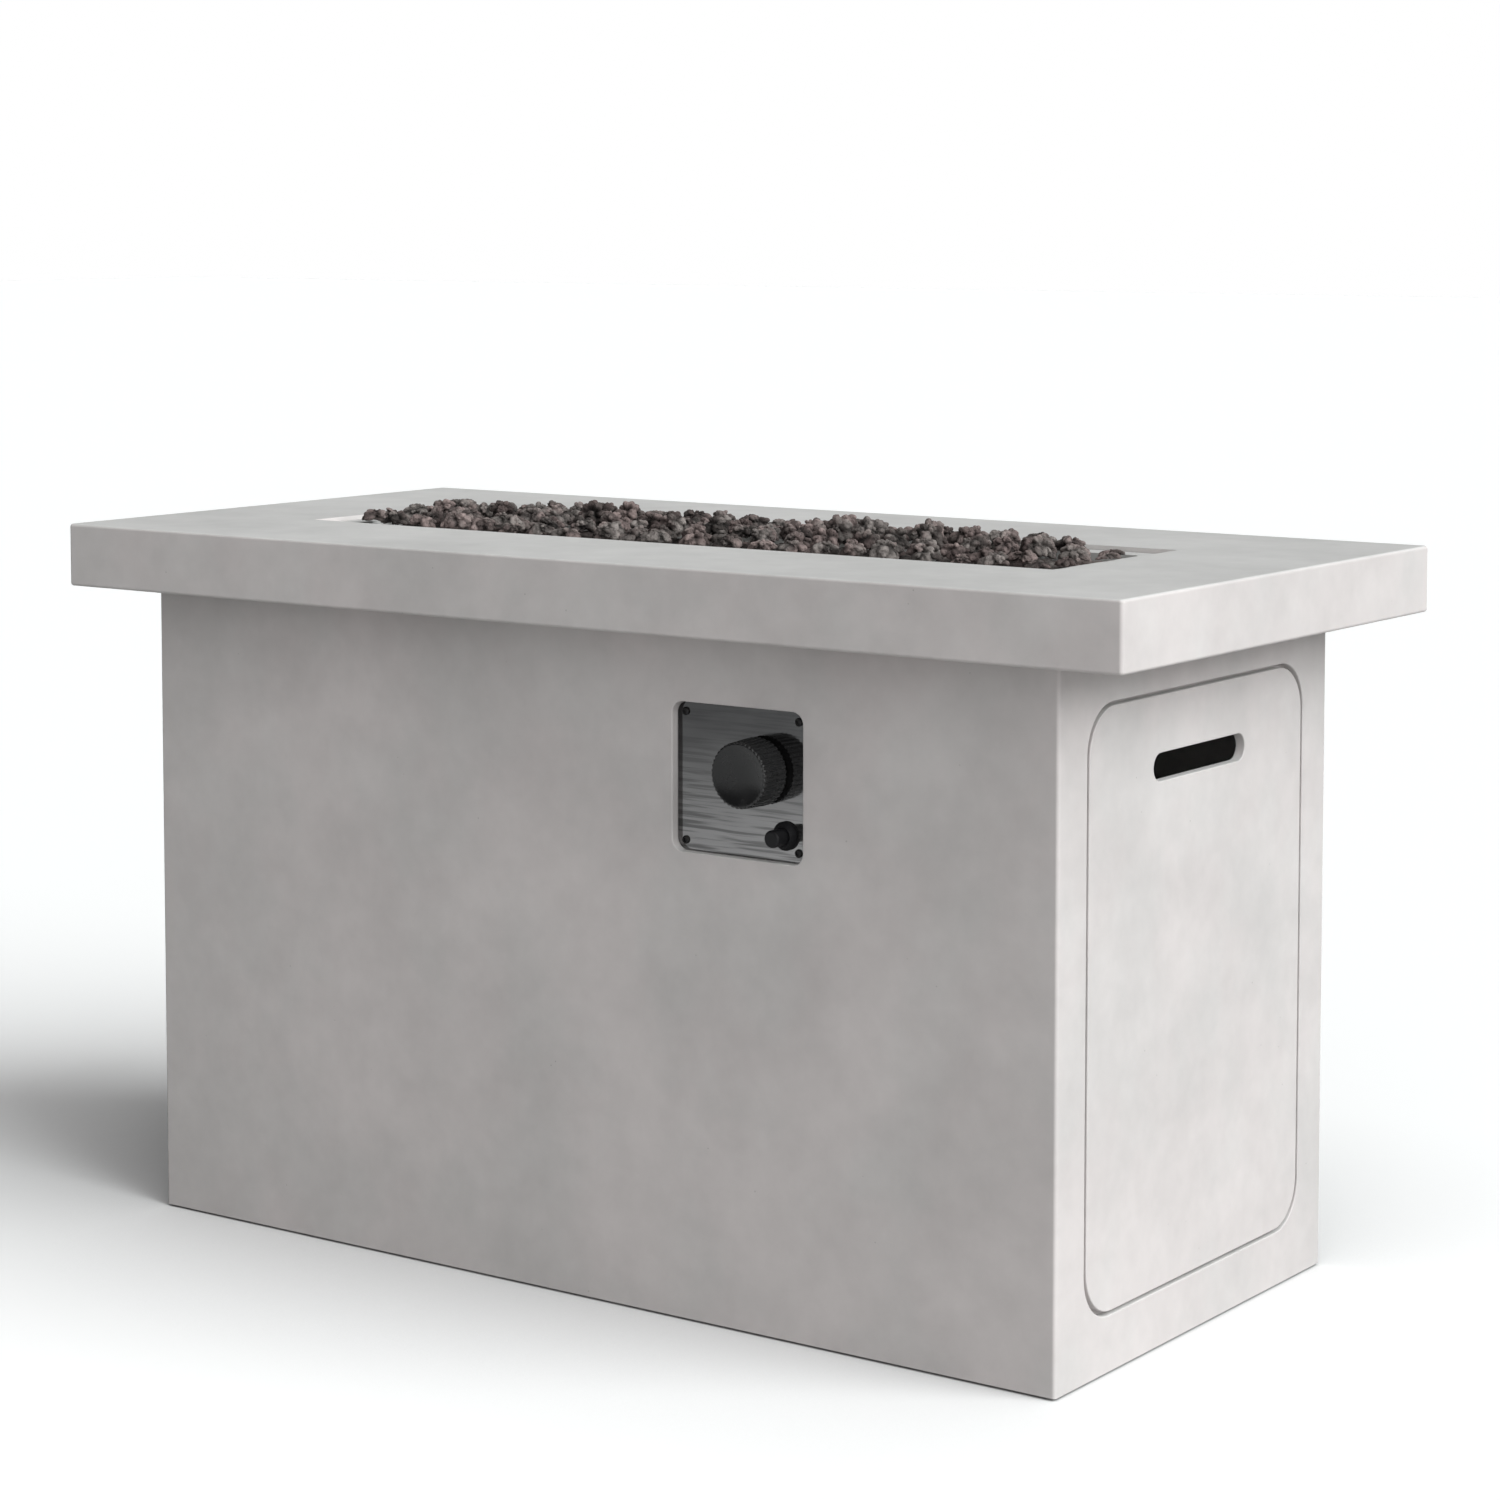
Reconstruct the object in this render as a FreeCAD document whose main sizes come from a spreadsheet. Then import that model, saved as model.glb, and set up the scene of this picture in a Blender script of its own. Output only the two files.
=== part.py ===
"""Gas fire pit table: a concrete slab with a stone-filled burner, on a box base with an end door.

Millimetres. The origin is on the floor under the middle of the table, +X runs along the table to the
end with the door, the control plate faces -Y, and +Z is up. Control pieces are drawn about their own
axis, with their local Z pointing out of the control plate, and are then placed on it.
"""
import FreeCAD, Part
import math
import os
import random
import re

import Sketcher

SIZES = {
    # Table top
    "table_length": 1067.0,
    "table_width": 508.0,
    "table_height": 610.0,
    "top_thickness": 55.0,
    "top_corner_radius": 3.5,
    "top_edge_round": 2.5,
    "fire_opening_length": 768.0,
    "fire_opening_width": 196.0,
    "rebate_depth": 5.5,
    "pan_hole_gap": 3.0,
    "underside_recess_depth": 32.0,
    "underside_rim": 28.0,
    "underside_pad_length": 76.0,
    "underside_pad_width": 64.0,
    "pan_collar_width": 16.0,
    # Burner pan
    "pan_sheet": 1.5,
    "pan_edge_gap": 1.0,
    "well_length": 724.0,
    "well_width": 150.0,
    "well_depth": 58.0,
    "well_corner_radius": 6.0,
    # Base
    "base_length": 919.0,
    "base_width": 434.0,
    "base_wall": 14.0,
    "base_corner_radius": 3.0,
    "foot_height": 2.0,
    "foot_seat_depth": 4.0,
    "foot_radius": 14.0,
    "foot_inset": 22.0,
    "sill_height": 20.0,
    "sill_width": 30.0,
    # End door
    "door_opening_width": 350.0,
    "door_opening_height": 472.0,
    "door_opening_bottom": 46.0,
    "door_corner_radius": 38.0,
    "door_gap": 3.0,
    "door_thickness": 8.0,
    "door_seat_gap": 0.3,
    "door_lip": 18.0,
    "door_edge_round": 1.0,
    "opening_edge_round": 1.0,
    "slot_length": 148.0,
    "slot_height": 22.0,
    "slot_middle_height": 458.6,
    "magnet_radius": 5.0,
    "magnet_thickness": 3.0,
    "magnet_inset": 9.0,
    "magnet_end_distance": 75.0,
    "strike_radius": 6.0,
    "strike_thickness": 1.5,
    # Control recess
    "control_middle_x": 167.0,
    "control_middle_height": 439.3,
    "control_width": 126.0,
    "control_height": 120.0,
    "control_corner_radius": 10.0,
    "control_setback": 7.4,
    "control_lip": 13.0,
    "plate_thickness": 1.2,
    "plate_gap": 0.5,
    "plate_screw_inset": 8.5,
    "plate_screw_radius": 1.8,
    "plate_screw_length": 10.0,
    "plate_screw_head_radius": 3.4,
    "plate_screw_head_height": 1.6,
    # Knob and valve, heights counted from the face of the control plate
    "knob_x": 186.0,
    "knob_height_above_floor": 449.6,
    "knob_travel": 4.0,
    "knob_standoff": 5.0,
    "knob_radius": 27.2,
    "knob_front_radius": 26.2,
    "knob_front": 32.3,
    "knob_front_wall": 4.5,
    "knob_side_wall": 3.4,
    "knob_edge_round": 1.6,
    "knob_dish_radius": 21.0,
    "knob_dish_depth": 1.0,
    "knob_hub_radius": 7.5,
    "knob_flutes": 40.0,
    "flute_radius": 1.6,
    "flute_depth": 0.8,
    "flute_end": 3.0,
    "stem_radius": 3.0,
    "stem_fit": 0.06,
    "stem_flat_depth": 1.0,
    "stem_engagement": 16.0,
    "stem_tail": 20.0,
    "bonnet_radius": 9.0,
    "bonnet_front": 4.2,
    "bonnet_lip": 1.2,
    "bonnet_lip_radius": 4.4,
    "bonnet_cavity_radius": 6.2,
    "bonnet_cavity_depth": 10.0,
    "collar_radius": 5.8,
    "collar_thickness": 2.4,
    "moving_gap": 0.3,
    "valve_spring_wire": 0.9,
    "valve_spring_turns": 3.0,
    "valve_nut_flats": 23.0,
    "valve_nut_thickness": 2.8,
    "valve_width": 32.0,
    "valve_rise": 34.0,
    "valve_front": 8.0,
    "valve_back": 42.0,
    "valve_corner_radius": 3.0,
    "valve_port_depth": 25.0,
    "outlet_shift": 8.0,
    "outlet_radius": 6.5,
    "outlet_length": 8.0,
    "sensor_port_shift": 10.0,
    "sensor_port_radius": 3.2,
    "sensor_port_length": 5.0,
    "inlet_hex_flats": 19.0,
    "inlet_hex_length": 8.0,
    "inlet_radius": 7.94,
    "inlet_length": 16.0,
    "inlet_bore_radius": 4.0,
    # Igniter
    "igniter_x": 209.5,
    "igniter_height_above_floor": 400.5,
    "igniter_travel": 5.0,
    "igniter_collar_radius": 11.5,
    "igniter_collar_height": 7.0,
    "igniter_collar_rim": 2.0,
    "igniter_collar_lip": 0.9,
    "igniter_barrel_radius": 9.5,
    "igniter_barrel_depth": 36.0,
    "igniter_bore_radius": 7.4,
    "igniter_bore_depth": 30.0,
    "igniter_hole_gap": 0.3,
    "igniter_notch_gap": 5.0,
    "igniter_nut_flats": 23.0,
    "igniter_nut_thickness": 4.0,
    "button_radius": 7.0,
    "button_front": 21.0,
    "button_back": 12.0,
    "button_edge_round": 2.0,
    "igniter_spring_wire": 0.9,
    "igniter_spring_turns": 4.0,
    "terminal_radius": 2.2,
    "terminal_length": 4.0,
    "terminal_depth": 31.0,
    # Burner
    "burner_radius": 9.5,
    "burner_wall": 1.2,
    "burner_length": 560.0,
    "burner_rise": 22.0,
    "burner_port_radius": 1.5,
    "burner_port_pitch": 36.0,
    "burner_port_count": 14.0,
    "burner_cap_length": 6.0,
    "burner_cap_wall": 1.2,
    "stub_radius": 10.0,
    "stub_bore_radius": 8.0,
    "stub_drop": 18.0,
    "stub_washer_radius": 16.0,
    "stub_washer_thickness": 2.0,
    "stub_hole_gap": 0.3,
    "locknut_flats": 30.0,
    "locknut_thickness": 6.0,
    "saddle_distance": 200.0,
    "saddle_width": 14.0,
    "saddle_foot": 40.0,
    "saddle_top": 18.0,
    "saddle_gap": 0.1,
    "elbow_radius": 11.0,
    "elbow_drop": 22.0,
    "elbow_reach": 28.0,
    "mixer_radius": 13.0,
    "mixer_wall": 2.0,
    "mixer_length": 30.0,
    "mixer_window_width": 9.0,
    "mixer_window_length": 16.0,
    "injector_flats": 20.0,
    "injector_hex_length": 8.0,
    "injector_nose_length": 6.0,
    "gas_tube_radius": 4.0,
    "gas_tube_wall": 1.0,
    # Ignition
    "electrode_x": 60.0,
    "sensor_x": 80.0,
    "ignition_y": -30.0,
    "ignition_plate_length": 44.0,
    "ignition_plate_width": 22.0,
    "ignition_plate_thickness": 1.5,
    "ignition_boss_height": 8.0,
    "ignition_boss_wall": 1.6,
    "ignition_drop": 6.0,
    "electrode_radius": 3.8,
    "electrode_top": 26.0,
    "electrode_rod_radius": 1.2,
    "electrode_rod_length": 9.0,
    "sensor_radius": 2.8,
    "sensor_top": 34.0,
    "ignition_hole_gap": 0.3,
    # Cylinder bay
    "floor_plate_thickness": 2.0,
    "floor_plate_gap": 2.0,
    "floor_vent_length": 90.0,
    "floor_vent_width": 12.0,
    "floor_vent_pitch": 60.0,
    "floor_vent_count": 4.0,
    "tank_end_distance": 188.5,
    "tank_seat_radius": 104.0,
    "tank_ring_wall": 3.0,
    "tank_ring_height": 25.0,
    "tank_height": 457.0,
    "tank_radius": 152.0,
    "shield_gap": 10.0,
    "shield_thickness": 1.2,
    "shield_margin": 12.0,
    "shield_leg_width": 20.0,
    "shield_foot_length": 16.0,
    # Brackets, screws and vents
    "bracket_length": 50.0,
    "bracket_leg": 38.0,
    "bracket_sheet": 3.0,
    "bracket_end_distance": 14.0,
    "screw_radius": 2.0,
    "screw_gap": 0.15,
    "screw_length": 12.0,
    "screw_head_radius": 4.5,
    "screw_head_height": 2.6,
    "vent_length": 160.0,
    "vent_height": 60.0,
    "vent_flange": 12.0,
    "vent_sheet": 2.0,
    "vent_lower_middle": 80.0,
    "vent_upper_middle": 480.0,
    "vent_middle_x": -120.0,
    "louvre_pitch": 11.0,
    "louvre_count": 5.0,
    "louvre_gap": 6.0,
    "louvre_depth": 8.0,
    "louvre_sheet": 1.2,
    # Lava stones
    "stone_pitch": 33.0,
    "stone_crown_radius": 18.5,
    "lower_stone_pitch": 44.0,
    "stone_gap": 0.4,
    "stone_wall_gap": 1.0,
    "burner_clearance": 4.0,
    "heap_height": 28.5,
    "heap_level": 15.5,
    "heap_unevenness": 4.5,
    "heap_seed_height": 9.0,
}

FULL_TURN = 360.0

# Two places closer together than this count as one
NEAR = 0.001
TINY = 1e-7

# Share of a tube's shorter straight run that each of its bends takes up
BEND_SHARE = 0.45

# Starting numbers of the two layers' chance, so that the stones come out the same each time
LOWER_SEED = 11
UPPER_SEED = 7

# How irregular the stones are, as shares of their pitch
STONE_REACH = 0.64
STONE_STAGGER = 0.22
STONE_JITTER = 0.2
STONE_NEIGHBOURS = 27
PEAK_SLOPE = 0.45
EDGE_FALL = 4.0
END_FALL = 8.0

# Planes that round a heap stone's crown: how far up they look, in degrees, and how many there are
CROWN_PLANES = [(52.0, 5), (16.0, 6)]

# Where the heap peaks, as shares of its half length, half width and height
HEAP_PEAKS = [
    (-0.8, 0.0, 0.8), (-0.69, 0.15, 0.75), (-0.36, 0.0, 1.0), (-0.12, -0.15, 0.8), (0.3, 0.05, 1.0),
    (0.41, -0.2, 0.9), (0.57, 0.0, 1.0), (0.74, 0.1, 0.8), (0.83, -0.25, 0.8),
]

# Corners of the flange without stones: their sides, and how far they reach as shares of the heap's half sizes
BARE_CORNERS = [(-1, -1, 0.26, 0.47), (1, 1, 0.42, 0.47)]

OUT_OF_PLATE = FreeCAD.Rotation(FreeCAD.Vector(1, 0, 0), 90)

doc = FreeCAD.newDocument("fire_pit_table")
sheet = doc.addObject("Spreadsheet::Sheet", "Sizes")
nodes = {}


def fill_sheet():
    """Write each driving size to the sheet, with its name as the cell's alias."""
    for row, (alias, size) in enumerate(SIZES.items(), start=1):
        sheet.set(f"A{row}", alias.replace("_", " "))
        sheet.set(f"B{row}", str(size))
        sheet.setAlias(f"B{row}", alias)
    doc.recompute()


def bound(text):
    """Turn the names of sizes in an expression into references to the sheet."""
    def reference(word):
        name = word.group(0)
        return "Sizes." + name if name in SIZES else name
    return re.sub(r"[a-z][a-z_]*[a-z]", reference, str(text))


def number(text):
    """Work out an expression from the sheet's cells."""
    return float(sheet.evalExpression(bound(text)))


# Places that several pieces share, as expressions in the sheet's names

TOP_UNDERSIDE = "(table_height - top_thickness)"
RECESS_CEILING = f"({TOP_UNDERSIDE} + underside_recess_depth)"
REBATE_FLOOR = "(table_height - rebate_depth)"
FLANGE_TOP = f"({REBATE_FLOOR} + pan_sheet)"
PAN_FLOOR = f"({FLANGE_TOP} - well_depth)"
PAN_UNDERSIDE = f"({PAN_FLOOR} - pan_sheet)"
BURNER_HEIGHT = f"({PAN_FLOOR} + burner_rise)"
STUB_BOTTOM = f"({PAN_UNDERSIDE} - stub_drop)"
ELBOW_HEIGHT = f"({STUB_BOTTOM} - elbow_drop)"
MIXER_END = "(elbow_reach + mixer_length)"
INJECTOR_END = f"({MIXER_END} + injector_hex_length + injector_nose_length)"
FLOOR_PLATE_BOTTOM = "(foot_height + sill_height)"
FLOOR_PLATE_TOP = f"({FLOOR_PLATE_BOTTOM} + floor_plate_thickness)"
SHIELD_BOTTOM = f"({FLOOR_PLATE_TOP} + tank_height + shield_gap)"
INNER_LENGTH = "(base_length - 2 * base_wall)"
INNER_WIDTH = "(base_width - 2 * base_wall)"
PLATE_FACE_Y = "(-base_width / 2 + control_setback)"
CONTROL_RECESS = "(control_setback + plate_thickness)"
DOOR_RECESS = "(door_thickness + door_seat_gap)"
TANK_X = "(base_length / 2 - tank_end_distance)"
DOOR_BACK_X = "(base_length / 2 - door_thickness)"
DOOR_SEAT_X = f"(base_length / 2 - {DOOR_RECESS})"
VALVE_TOP = "(knob_height_above_floor + valve_rise / 2)"
PORT_Y = f"({PLATE_FACE_Y} + valve_port_depth)"
VENT_HEIGHTS = {"lower_vent_grille": "vent_lower_middle", "upper_vent_grille": "vent_upper_middle"}


# Sketches and features

def new_body(label, allow_groups=False):
    """Start a sub-part whose label names its file."""
    body = doc.addObject("PartDesign::Body", label)
    body.Label = label
    body.AllowCompound = allow_groups
    nodes[label] = body
    return body


def on_control_plate(body, x, height):
    """Stand a control piece on the plate's face, with its local Z pointing out of the wall."""
    body.Placement = FreeCAD.Placement(FreeCAD.Vector(), OUT_OF_PLATE)
    body.setExpression("Placement.Base.x", bound(x))
    body.setExpression("Placement.Base.y", bound(PLATE_FACE_Y))
    body.setExpression("Placement.Base.z", bound(height))


def new_sketch(body, plane, place):
    """Add a sketch on an origin plane, moved to a place along the body's axis square to it."""
    origin_plane = next(item for item in body.Origin.OriginFeatures if item.Role == plane + "_Plane")
    sketch = body.newObject("Sketcher::SketchObject", body.Label + "_sketch")
    sketch.AttachmentSupport = [(origin_plane, "")]
    sketch.MapMode = "FlatFace"
    offset = f"-({place})" if plane == "XZ" else place
    sketch.setExpression("AttachmentOffset.Base.z", bound(offset))
    return sketch


def hold(sketch, kind, text, *geometry):
    """Add a dimension to a sketch, driven by an expression."""
    index = sketch.addConstraint(Sketcher.Constraint(kind, *geometry, number(text)))
    sketch.setExpression(f"Constraints[{index}]", bound(text))


def outline(sketch, points):
    """Draw a closed outline of straight lines through points given as expressions."""
    first = sketch.GeometryCount
    count = len(points)
    corners = [FreeCAD.Vector(number(x), number(y), 0) for x, y in points]
    for index in range(count):
        sketch.addGeometry(Part.LineSegment(corners[index], corners[(index + 1) % count]), False)
    for index, (x, y) in enumerate(points):
        line = first + index
        line_before = first + (index - 1) % count
        sketch.addConstraint(Sketcher.Constraint("Coincident", line, 1, line_before, 2))
        hold(sketch, "DistanceX", x, -1, 1, line, 1)
        hold(sketch, "DistanceY", y, -1, 1, line, 1)


def rectangle(sketch, x_low, x_high, y_low, y_high):
    """Draw a rectangle between four expressions."""
    outline(sketch, [(x_low, y_low), (x_high, y_low), (x_high, y_high), (x_low, y_high)])


def centred_rectangle(sketch, length, width):
    """Draw a rectangle about the sketch's origin."""
    rectangle(sketch, f"-({length}) / 2", f"({length}) / 2", f"-({width}) / 2", f"({width}) / 2")


def rounded_rectangle(sketch, x_low, x_high, y_low, y_high, radius):
    """Draw a rectangle with four tangent corner arcs."""
    left, right, low, high, bend = (number(text) for text in (x_low, x_high, y_low, y_high, radius))
    first = sketch.GeometryCount
    normal = FreeCAD.Vector(0, 0, 1)
    sides = [
        ((left + bend, low), (right - bend, low)),
        ((right, low + bend), (right, high - bend)),
        ((right - bend, high), (left + bend, high)),
        ((left, high - bend), (left, low + bend)),
    ]
    centres = [(right - bend, low + bend), (right - bend, high - bend), (left + bend, high - bend),
               (left + bend, low + bend)]
    for start, end in sides:
        sketch.addGeometry(Part.LineSegment(FreeCAD.Vector(*start, 0), FreeCAD.Vector(*end, 0)), False)
    for index, centre in enumerate(centres):
        circle_of_corner = Part.Circle(FreeCAD.Vector(*centre, 0), normal, bend)
        start_angle = (index - 1) * math.pi / 2
        arc = Part.ArcOfCircle(circle_of_corner, start_angle, start_angle + math.pi / 2)
        sketch.addGeometry(arc, False)
    for index in range(4):
        side = first + index
        arc = first + 4 + index
        side_after = first + (index + 1) % 4
        sketch.addConstraint(Sketcher.Constraint("Tangent", side, 2, arc, 1))
        sketch.addConstraint(Sketcher.Constraint("Tangent", arc, 2, side_after, 1))
        sketch.addConstraint(Sketcher.Constraint("Vertical" if index % 2 else "Horizontal", side))
    for index in range(1, 4):
        sketch.addConstraint(Sketcher.Constraint("Equal", first + 4, first + 4 + index))
    hold(sketch, "Radius", radius, first + 4)
    hold(sketch, "DistanceY", y_low, -1, 1, first, 1)
    hold(sketch, "DistanceX", x_high, -1, 1, first + 1, 1)
    hold(sketch, "DistanceY", y_high, -1, 1, first + 2, 1)
    hold(sketch, "DistanceX", x_low, -1, 1, first + 3, 1)


def slot_outline(sketch, length, height, middle_y):
    """Draw a slot with round ends, centred on the sketch's vertical axis."""
    bend = number(height) / 2
    reach = number(length) / 2 - bend
    middle = number(middle_y)
    first = sketch.GeometryCount
    normal = FreeCAD.Vector(0, 0, 1)
    sketch.addGeometry(Part.LineSegment(FreeCAD.Vector(-reach, middle - bend, 0),
                                        FreeCAD.Vector(reach, middle - bend, 0)), False)
    sketch.addGeometry(Part.LineSegment(FreeCAD.Vector(reach, middle + bend, 0),
                                        FreeCAD.Vector(-reach, middle + bend, 0)), False)
    for side, start_angle in ((1, -math.pi / 2), (-1, math.pi / 2)):
        end_circle = Part.Circle(FreeCAD.Vector(side * reach, middle, 0), normal, bend)
        sketch.addGeometry(Part.ArcOfCircle(end_circle, start_angle, start_angle + math.pi), False)
    for line, arc, line_after in ((0, 2, 1), (1, 3, 0)):
        sketch.addConstraint(Sketcher.Constraint("Tangent", first + line, 2, first + arc, 1))
        sketch.addConstraint(Sketcher.Constraint("Tangent", first + arc, 2, first + line_after, 1))
    sketch.addConstraint(Sketcher.Constraint("Horizontal", first))
    hold(sketch, "Radius", f"({height}) / 2", first + 2)
    hold(sketch, "DistanceX", f"({length}) / 2 - ({height}) / 2", -1, 1, first + 2, 3)
    hold(sketch, "DistanceX", f"-({length}) / 2 + ({height}) / 2", -1, 1, first + 3, 3)
    hold(sketch, "DistanceY", middle_y, -1, 1, first + 2, 3)


def circle(sketch, x, y, radius):
    """Draw a circle whose centre and radius are expressions."""
    centre = FreeCAD.Vector(number(x), number(y), 0)
    index = sketch.addGeometry(Part.Circle(centre, FreeCAD.Vector(0, 0, 1), number(radius)), False)
    hold(sketch, "DistanceX", x, -1, 1, index, 3)
    hold(sketch, "DistanceY", y, -1, 1, index, 3)
    hold(sketch, "Radius", radius, index)


def hexagon(sketch, x, y, flats):
    """Draw a nut's hexagon, given the width across its flats."""
    points = []
    for corner in range(6):
        turn = math.radians(60 * corner)
        corner_x = f"({x}) + ({flats}) * {math.cos(turn) / math.sqrt(3):.9f}"
        corner_y = f"({y}) + ({flats}) * {math.sin(turn) / math.sqrt(3):.9f}"
        points.append((corner_x, corner_y))
    outline(sketch, points)


def extrude(body, sketch, length, towards, plane):
    """Pad a sketch towards the positive or negative side of the axis square to its plane."""
    pad = body.newObject("PartDesign::Pad", body.Label + "_pad")
    pad.Profile = sketch
    pad.setExpression("Length", bound(length))
    pad.Reversed = (towards == "+") == (plane == "XZ")
    return pad


def carve(body, sketch, depth, towards, plane):
    """Cut a sketch towards the positive or negative side of the axis square to its plane."""
    pocket = body.newObject("PartDesign::Pocket", body.Label + "_pocket")
    pocket.Profile = sketch
    pocket.setExpression("Length", bound(depth))
    pocket.Reversed = (towards == "+") != (plane == "XZ")
    return pocket


def pad_on(body, plane, place, draw, length, towards="+"):
    """Sketch on a plane with the given drawing function and pad it."""
    sketch = new_sketch(body, plane, place)
    draw(sketch)
    return extrude(body, sketch, length, towards, plane)


def cut_on(body, plane, place, draw, depth, towards="+"):
    """Sketch on a plane with the given drawing function and cut it out."""
    sketch = new_sketch(body, plane, place)
    draw(sketch)
    return carve(body, sketch, depth, towards, plane)


def revolve(body, points):
    """Turn an outline of radius and height about the body's Z axis."""
    sketch = new_sketch(body, "XZ", "0")
    outline(sketch, points)
    revolution = body.newObject("PartDesign::Revolution", body.Label + "_turned")
    revolution.Profile = sketch
    revolution.ReferenceAxis = (sketch, ["V_Axis"])
    revolution.Angle = FULL_TURN
    return revolution


def round_edges(body, feature, radius, chosen):
    """Fillet the edges of a feature that pass a test."""
    doc.recompute()
    names = [f"Edge{index}" for index, edge in enumerate(feature.Shape.Edges, start=1) if chosen(edge)]
    fillet = body.newObject("PartDesign::Fillet", body.Label + "_rounded")
    fillet.Base = (feature, names)
    fillet.setExpression("Radius", bound(radius))
    return fillet


def is_level(edge, height):
    """Tell whether an edge lies at one height."""
    box = edge.BoundBox
    return abs(box.ZMin - height) < NEAR and abs(box.ZMax - height) < NEAR


def corner_places(half_x, half_y):
    """Give the four mirrored places of a part that sits near every corner."""
    return [(f"{sign_x}({half_x})", f"{sign_y}({half_y})") for sign_x in ("", "-") for sign_y in ("", "-")]


# Table top

def bracket_screw_places():
    """Middles of the corner brackets' legs, seen from above."""
    half_x = f"{INNER_LENGTH} / 2 - bracket_end_distance - bracket_length / 2"
    half_y = f"{INNER_WIDTH} / 2 - bracket_sheet - (bracket_leg - bracket_sheet) / 2"
    return corner_places(half_x, half_y)


def shield_leg_middles():
    """Middles of the heat shield's two pairs of legs, along the table."""
    near = f"{TANK_X} - tank_radius - shield_margin + shield_leg_width / 2"
    far = f"{INNER_LENGTH} / 2 - underside_rim - underside_pad_length - shield_leg_width"
    return near, far


def shield_leg_places():
    """Middles of the heat shield's four feet, seen from above."""
    half_y = "tank_radius - shield_foot_length / 2"
    return [(middle, f"{sign}({half_y})") for middle in shield_leg_middles() for sign in ("", "-")]


def draw_circles(places, radius):
    """Make a drawing function for equal circles."""
    def draw(sketch):
        for x, y in places:
            circle(sketch, x, y, radius)
    return draw


def make_table_top():
    """Slab with a rebated fire opening and a recessed underside."""
    body = new_body("table_top")

    def slab(sketch):
        rounded_rectangle(sketch, "-table_length / 2", "table_length / 2", "-table_width / 2",
                          "table_width / 2", "top_corner_radius")

    blank = pad_on(body, "XY", TOP_UNDERSIDE, slab, "top_thickness")
    top, underside = number("table_height"), number(TOP_UNDERSIDE)
    round_edges(body, blank, "top_edge_round", lambda edge: is_level(edge, top) or is_level(edge, underside))
    cut_on(body, "XY", "table_height",
           lambda sketch: centred_rectangle(sketch, "fire_opening_length", "fire_opening_width"),
           "rebate_depth", "-")
    hole_length = "well_length + 2 * pan_sheet + 2 * pan_hole_gap"
    hole_width = "well_width + 2 * pan_sheet + 2 * pan_hole_gap"
    cut_on(body, "XY", "table_height",
           lambda sketch: centred_rectangle(sketch, hole_length, hole_width), "top_thickness", "-")

    def underside_recess(sketch):
        half_x = f"({INNER_LENGTH} / 2 - underside_rim)"
        half_y = f"({INNER_WIDTH} / 2 - underside_rim)"
        step_x = f"({half_x} - underside_pad_length)"
        step_y = f"({half_y} - underside_pad_width)"
        outline(sketch, [
            (f"-{step_x}", f"-{half_y}"), (step_x, f"-{half_y}"), (step_x, f"-{step_y}"),
            (half_x, f"-{step_y}"), (half_x, step_y), (step_x, step_y), (step_x, half_y),
            (f"-{step_x}", half_y), (f"-{step_x}", step_y), (f"-{half_x}", step_y),
            (f"-{half_x}", f"-{step_y}"), (f"-{step_x}", f"-{step_y}"),
        ])
        centred_rectangle(sketch, f"{hole_length} + 2 * pan_collar_width",
                          f"{hole_width} + 2 * pan_collar_width")

    cut_on(body, "XY", TOP_UNDERSIDE, underside_recess, "underside_recess_depth")
    cut_on(body, "XY", TOP_UNDERSIDE,
           draw_circles(bracket_screw_places(), "screw_radius + screw_gap"), "screw_length")
    cut_on(body, "XY", RECESS_CEILING,
           draw_circles(shield_leg_places(), "screw_radius + screw_gap"), "screw_length")


# Base

def door_outline(sketch, inset, radius):
    """Draw the door's opening, or an outline set in from it."""
    rounded_rectangle(sketch, f"-door_opening_width / 2 + {inset}", f"door_opening_width / 2 - {inset}",
                      f"door_opening_bottom + {inset}",
                      f"door_opening_bottom + door_opening_height - {inset}", radius)


def control_outline(sketch, inset, radius):
    """Draw the control recess, or an outline set in from it."""
    rounded_rectangle(sketch, f"control_middle_x - control_width / 2 + {inset}",
                      f"control_middle_x + control_width / 2 - {inset}",
                      f"control_middle_height - control_height / 2 + {inset}",
                      f"control_middle_height + control_height / 2 - {inset}", radius)


def magnet_places():
    """Middles of the door's magnets across the end wall."""
    across = "door_opening_width / 2 - magnet_inset"
    low = "door_opening_bottom + magnet_end_distance"
    high = "door_opening_bottom + door_opening_height - magnet_end_distance"
    return [(f"{sign}({across})", height) for sign in ("", "-") for height in (low, high)]


def plate_screw_places():
    """Middles of the control plate's screws, seen from the front."""
    across = "control_width / 2 - plate_screw_inset"
    rise = "control_height / 2 - plate_screw_inset"
    return [(f"control_middle_x {side} ({across})", f"control_middle_height {level} ({rise})")
            for side in "+-" for level in "+-"]


def foot_places():
    """Middles of the four feet, seen from above."""
    return corner_places("base_length / 2 - foot_inset", "base_width / 2 - foot_inset")


def bracket_wall_screws():
    """Middles of the brackets' wall screws, along the wall and above the floor."""
    half_x = f"{INNER_LENGTH} / 2 - bracket_end_distance - bracket_length / 2"
    height = f"{TOP_UNDERSIDE} - bracket_sheet - (bracket_leg - bracket_sheet) / 2"
    return [(f"{sign}({half_x})", height) for sign in ("", "-")]


def vent_screw_places():
    """Middles of the vent grilles' screws on the rear wall."""
    across = "vent_length / 2 + vent_flange / 2"
    return [(f"vent_middle_x {side} ({across})", middle) for side in "+-" for middle in VENT_HEIGHTS.values()]


def draw_vents(sketch):
    """Draw the two vent openings of the rear wall."""
    for middle in VENT_HEIGHTS.values():
        rectangle(sketch, "vent_middle_x - vent_length / 2", "vent_middle_x + vent_length / 2",
                  f"{middle} - vent_height / 2", f"{middle} + vent_height / 2")


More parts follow.
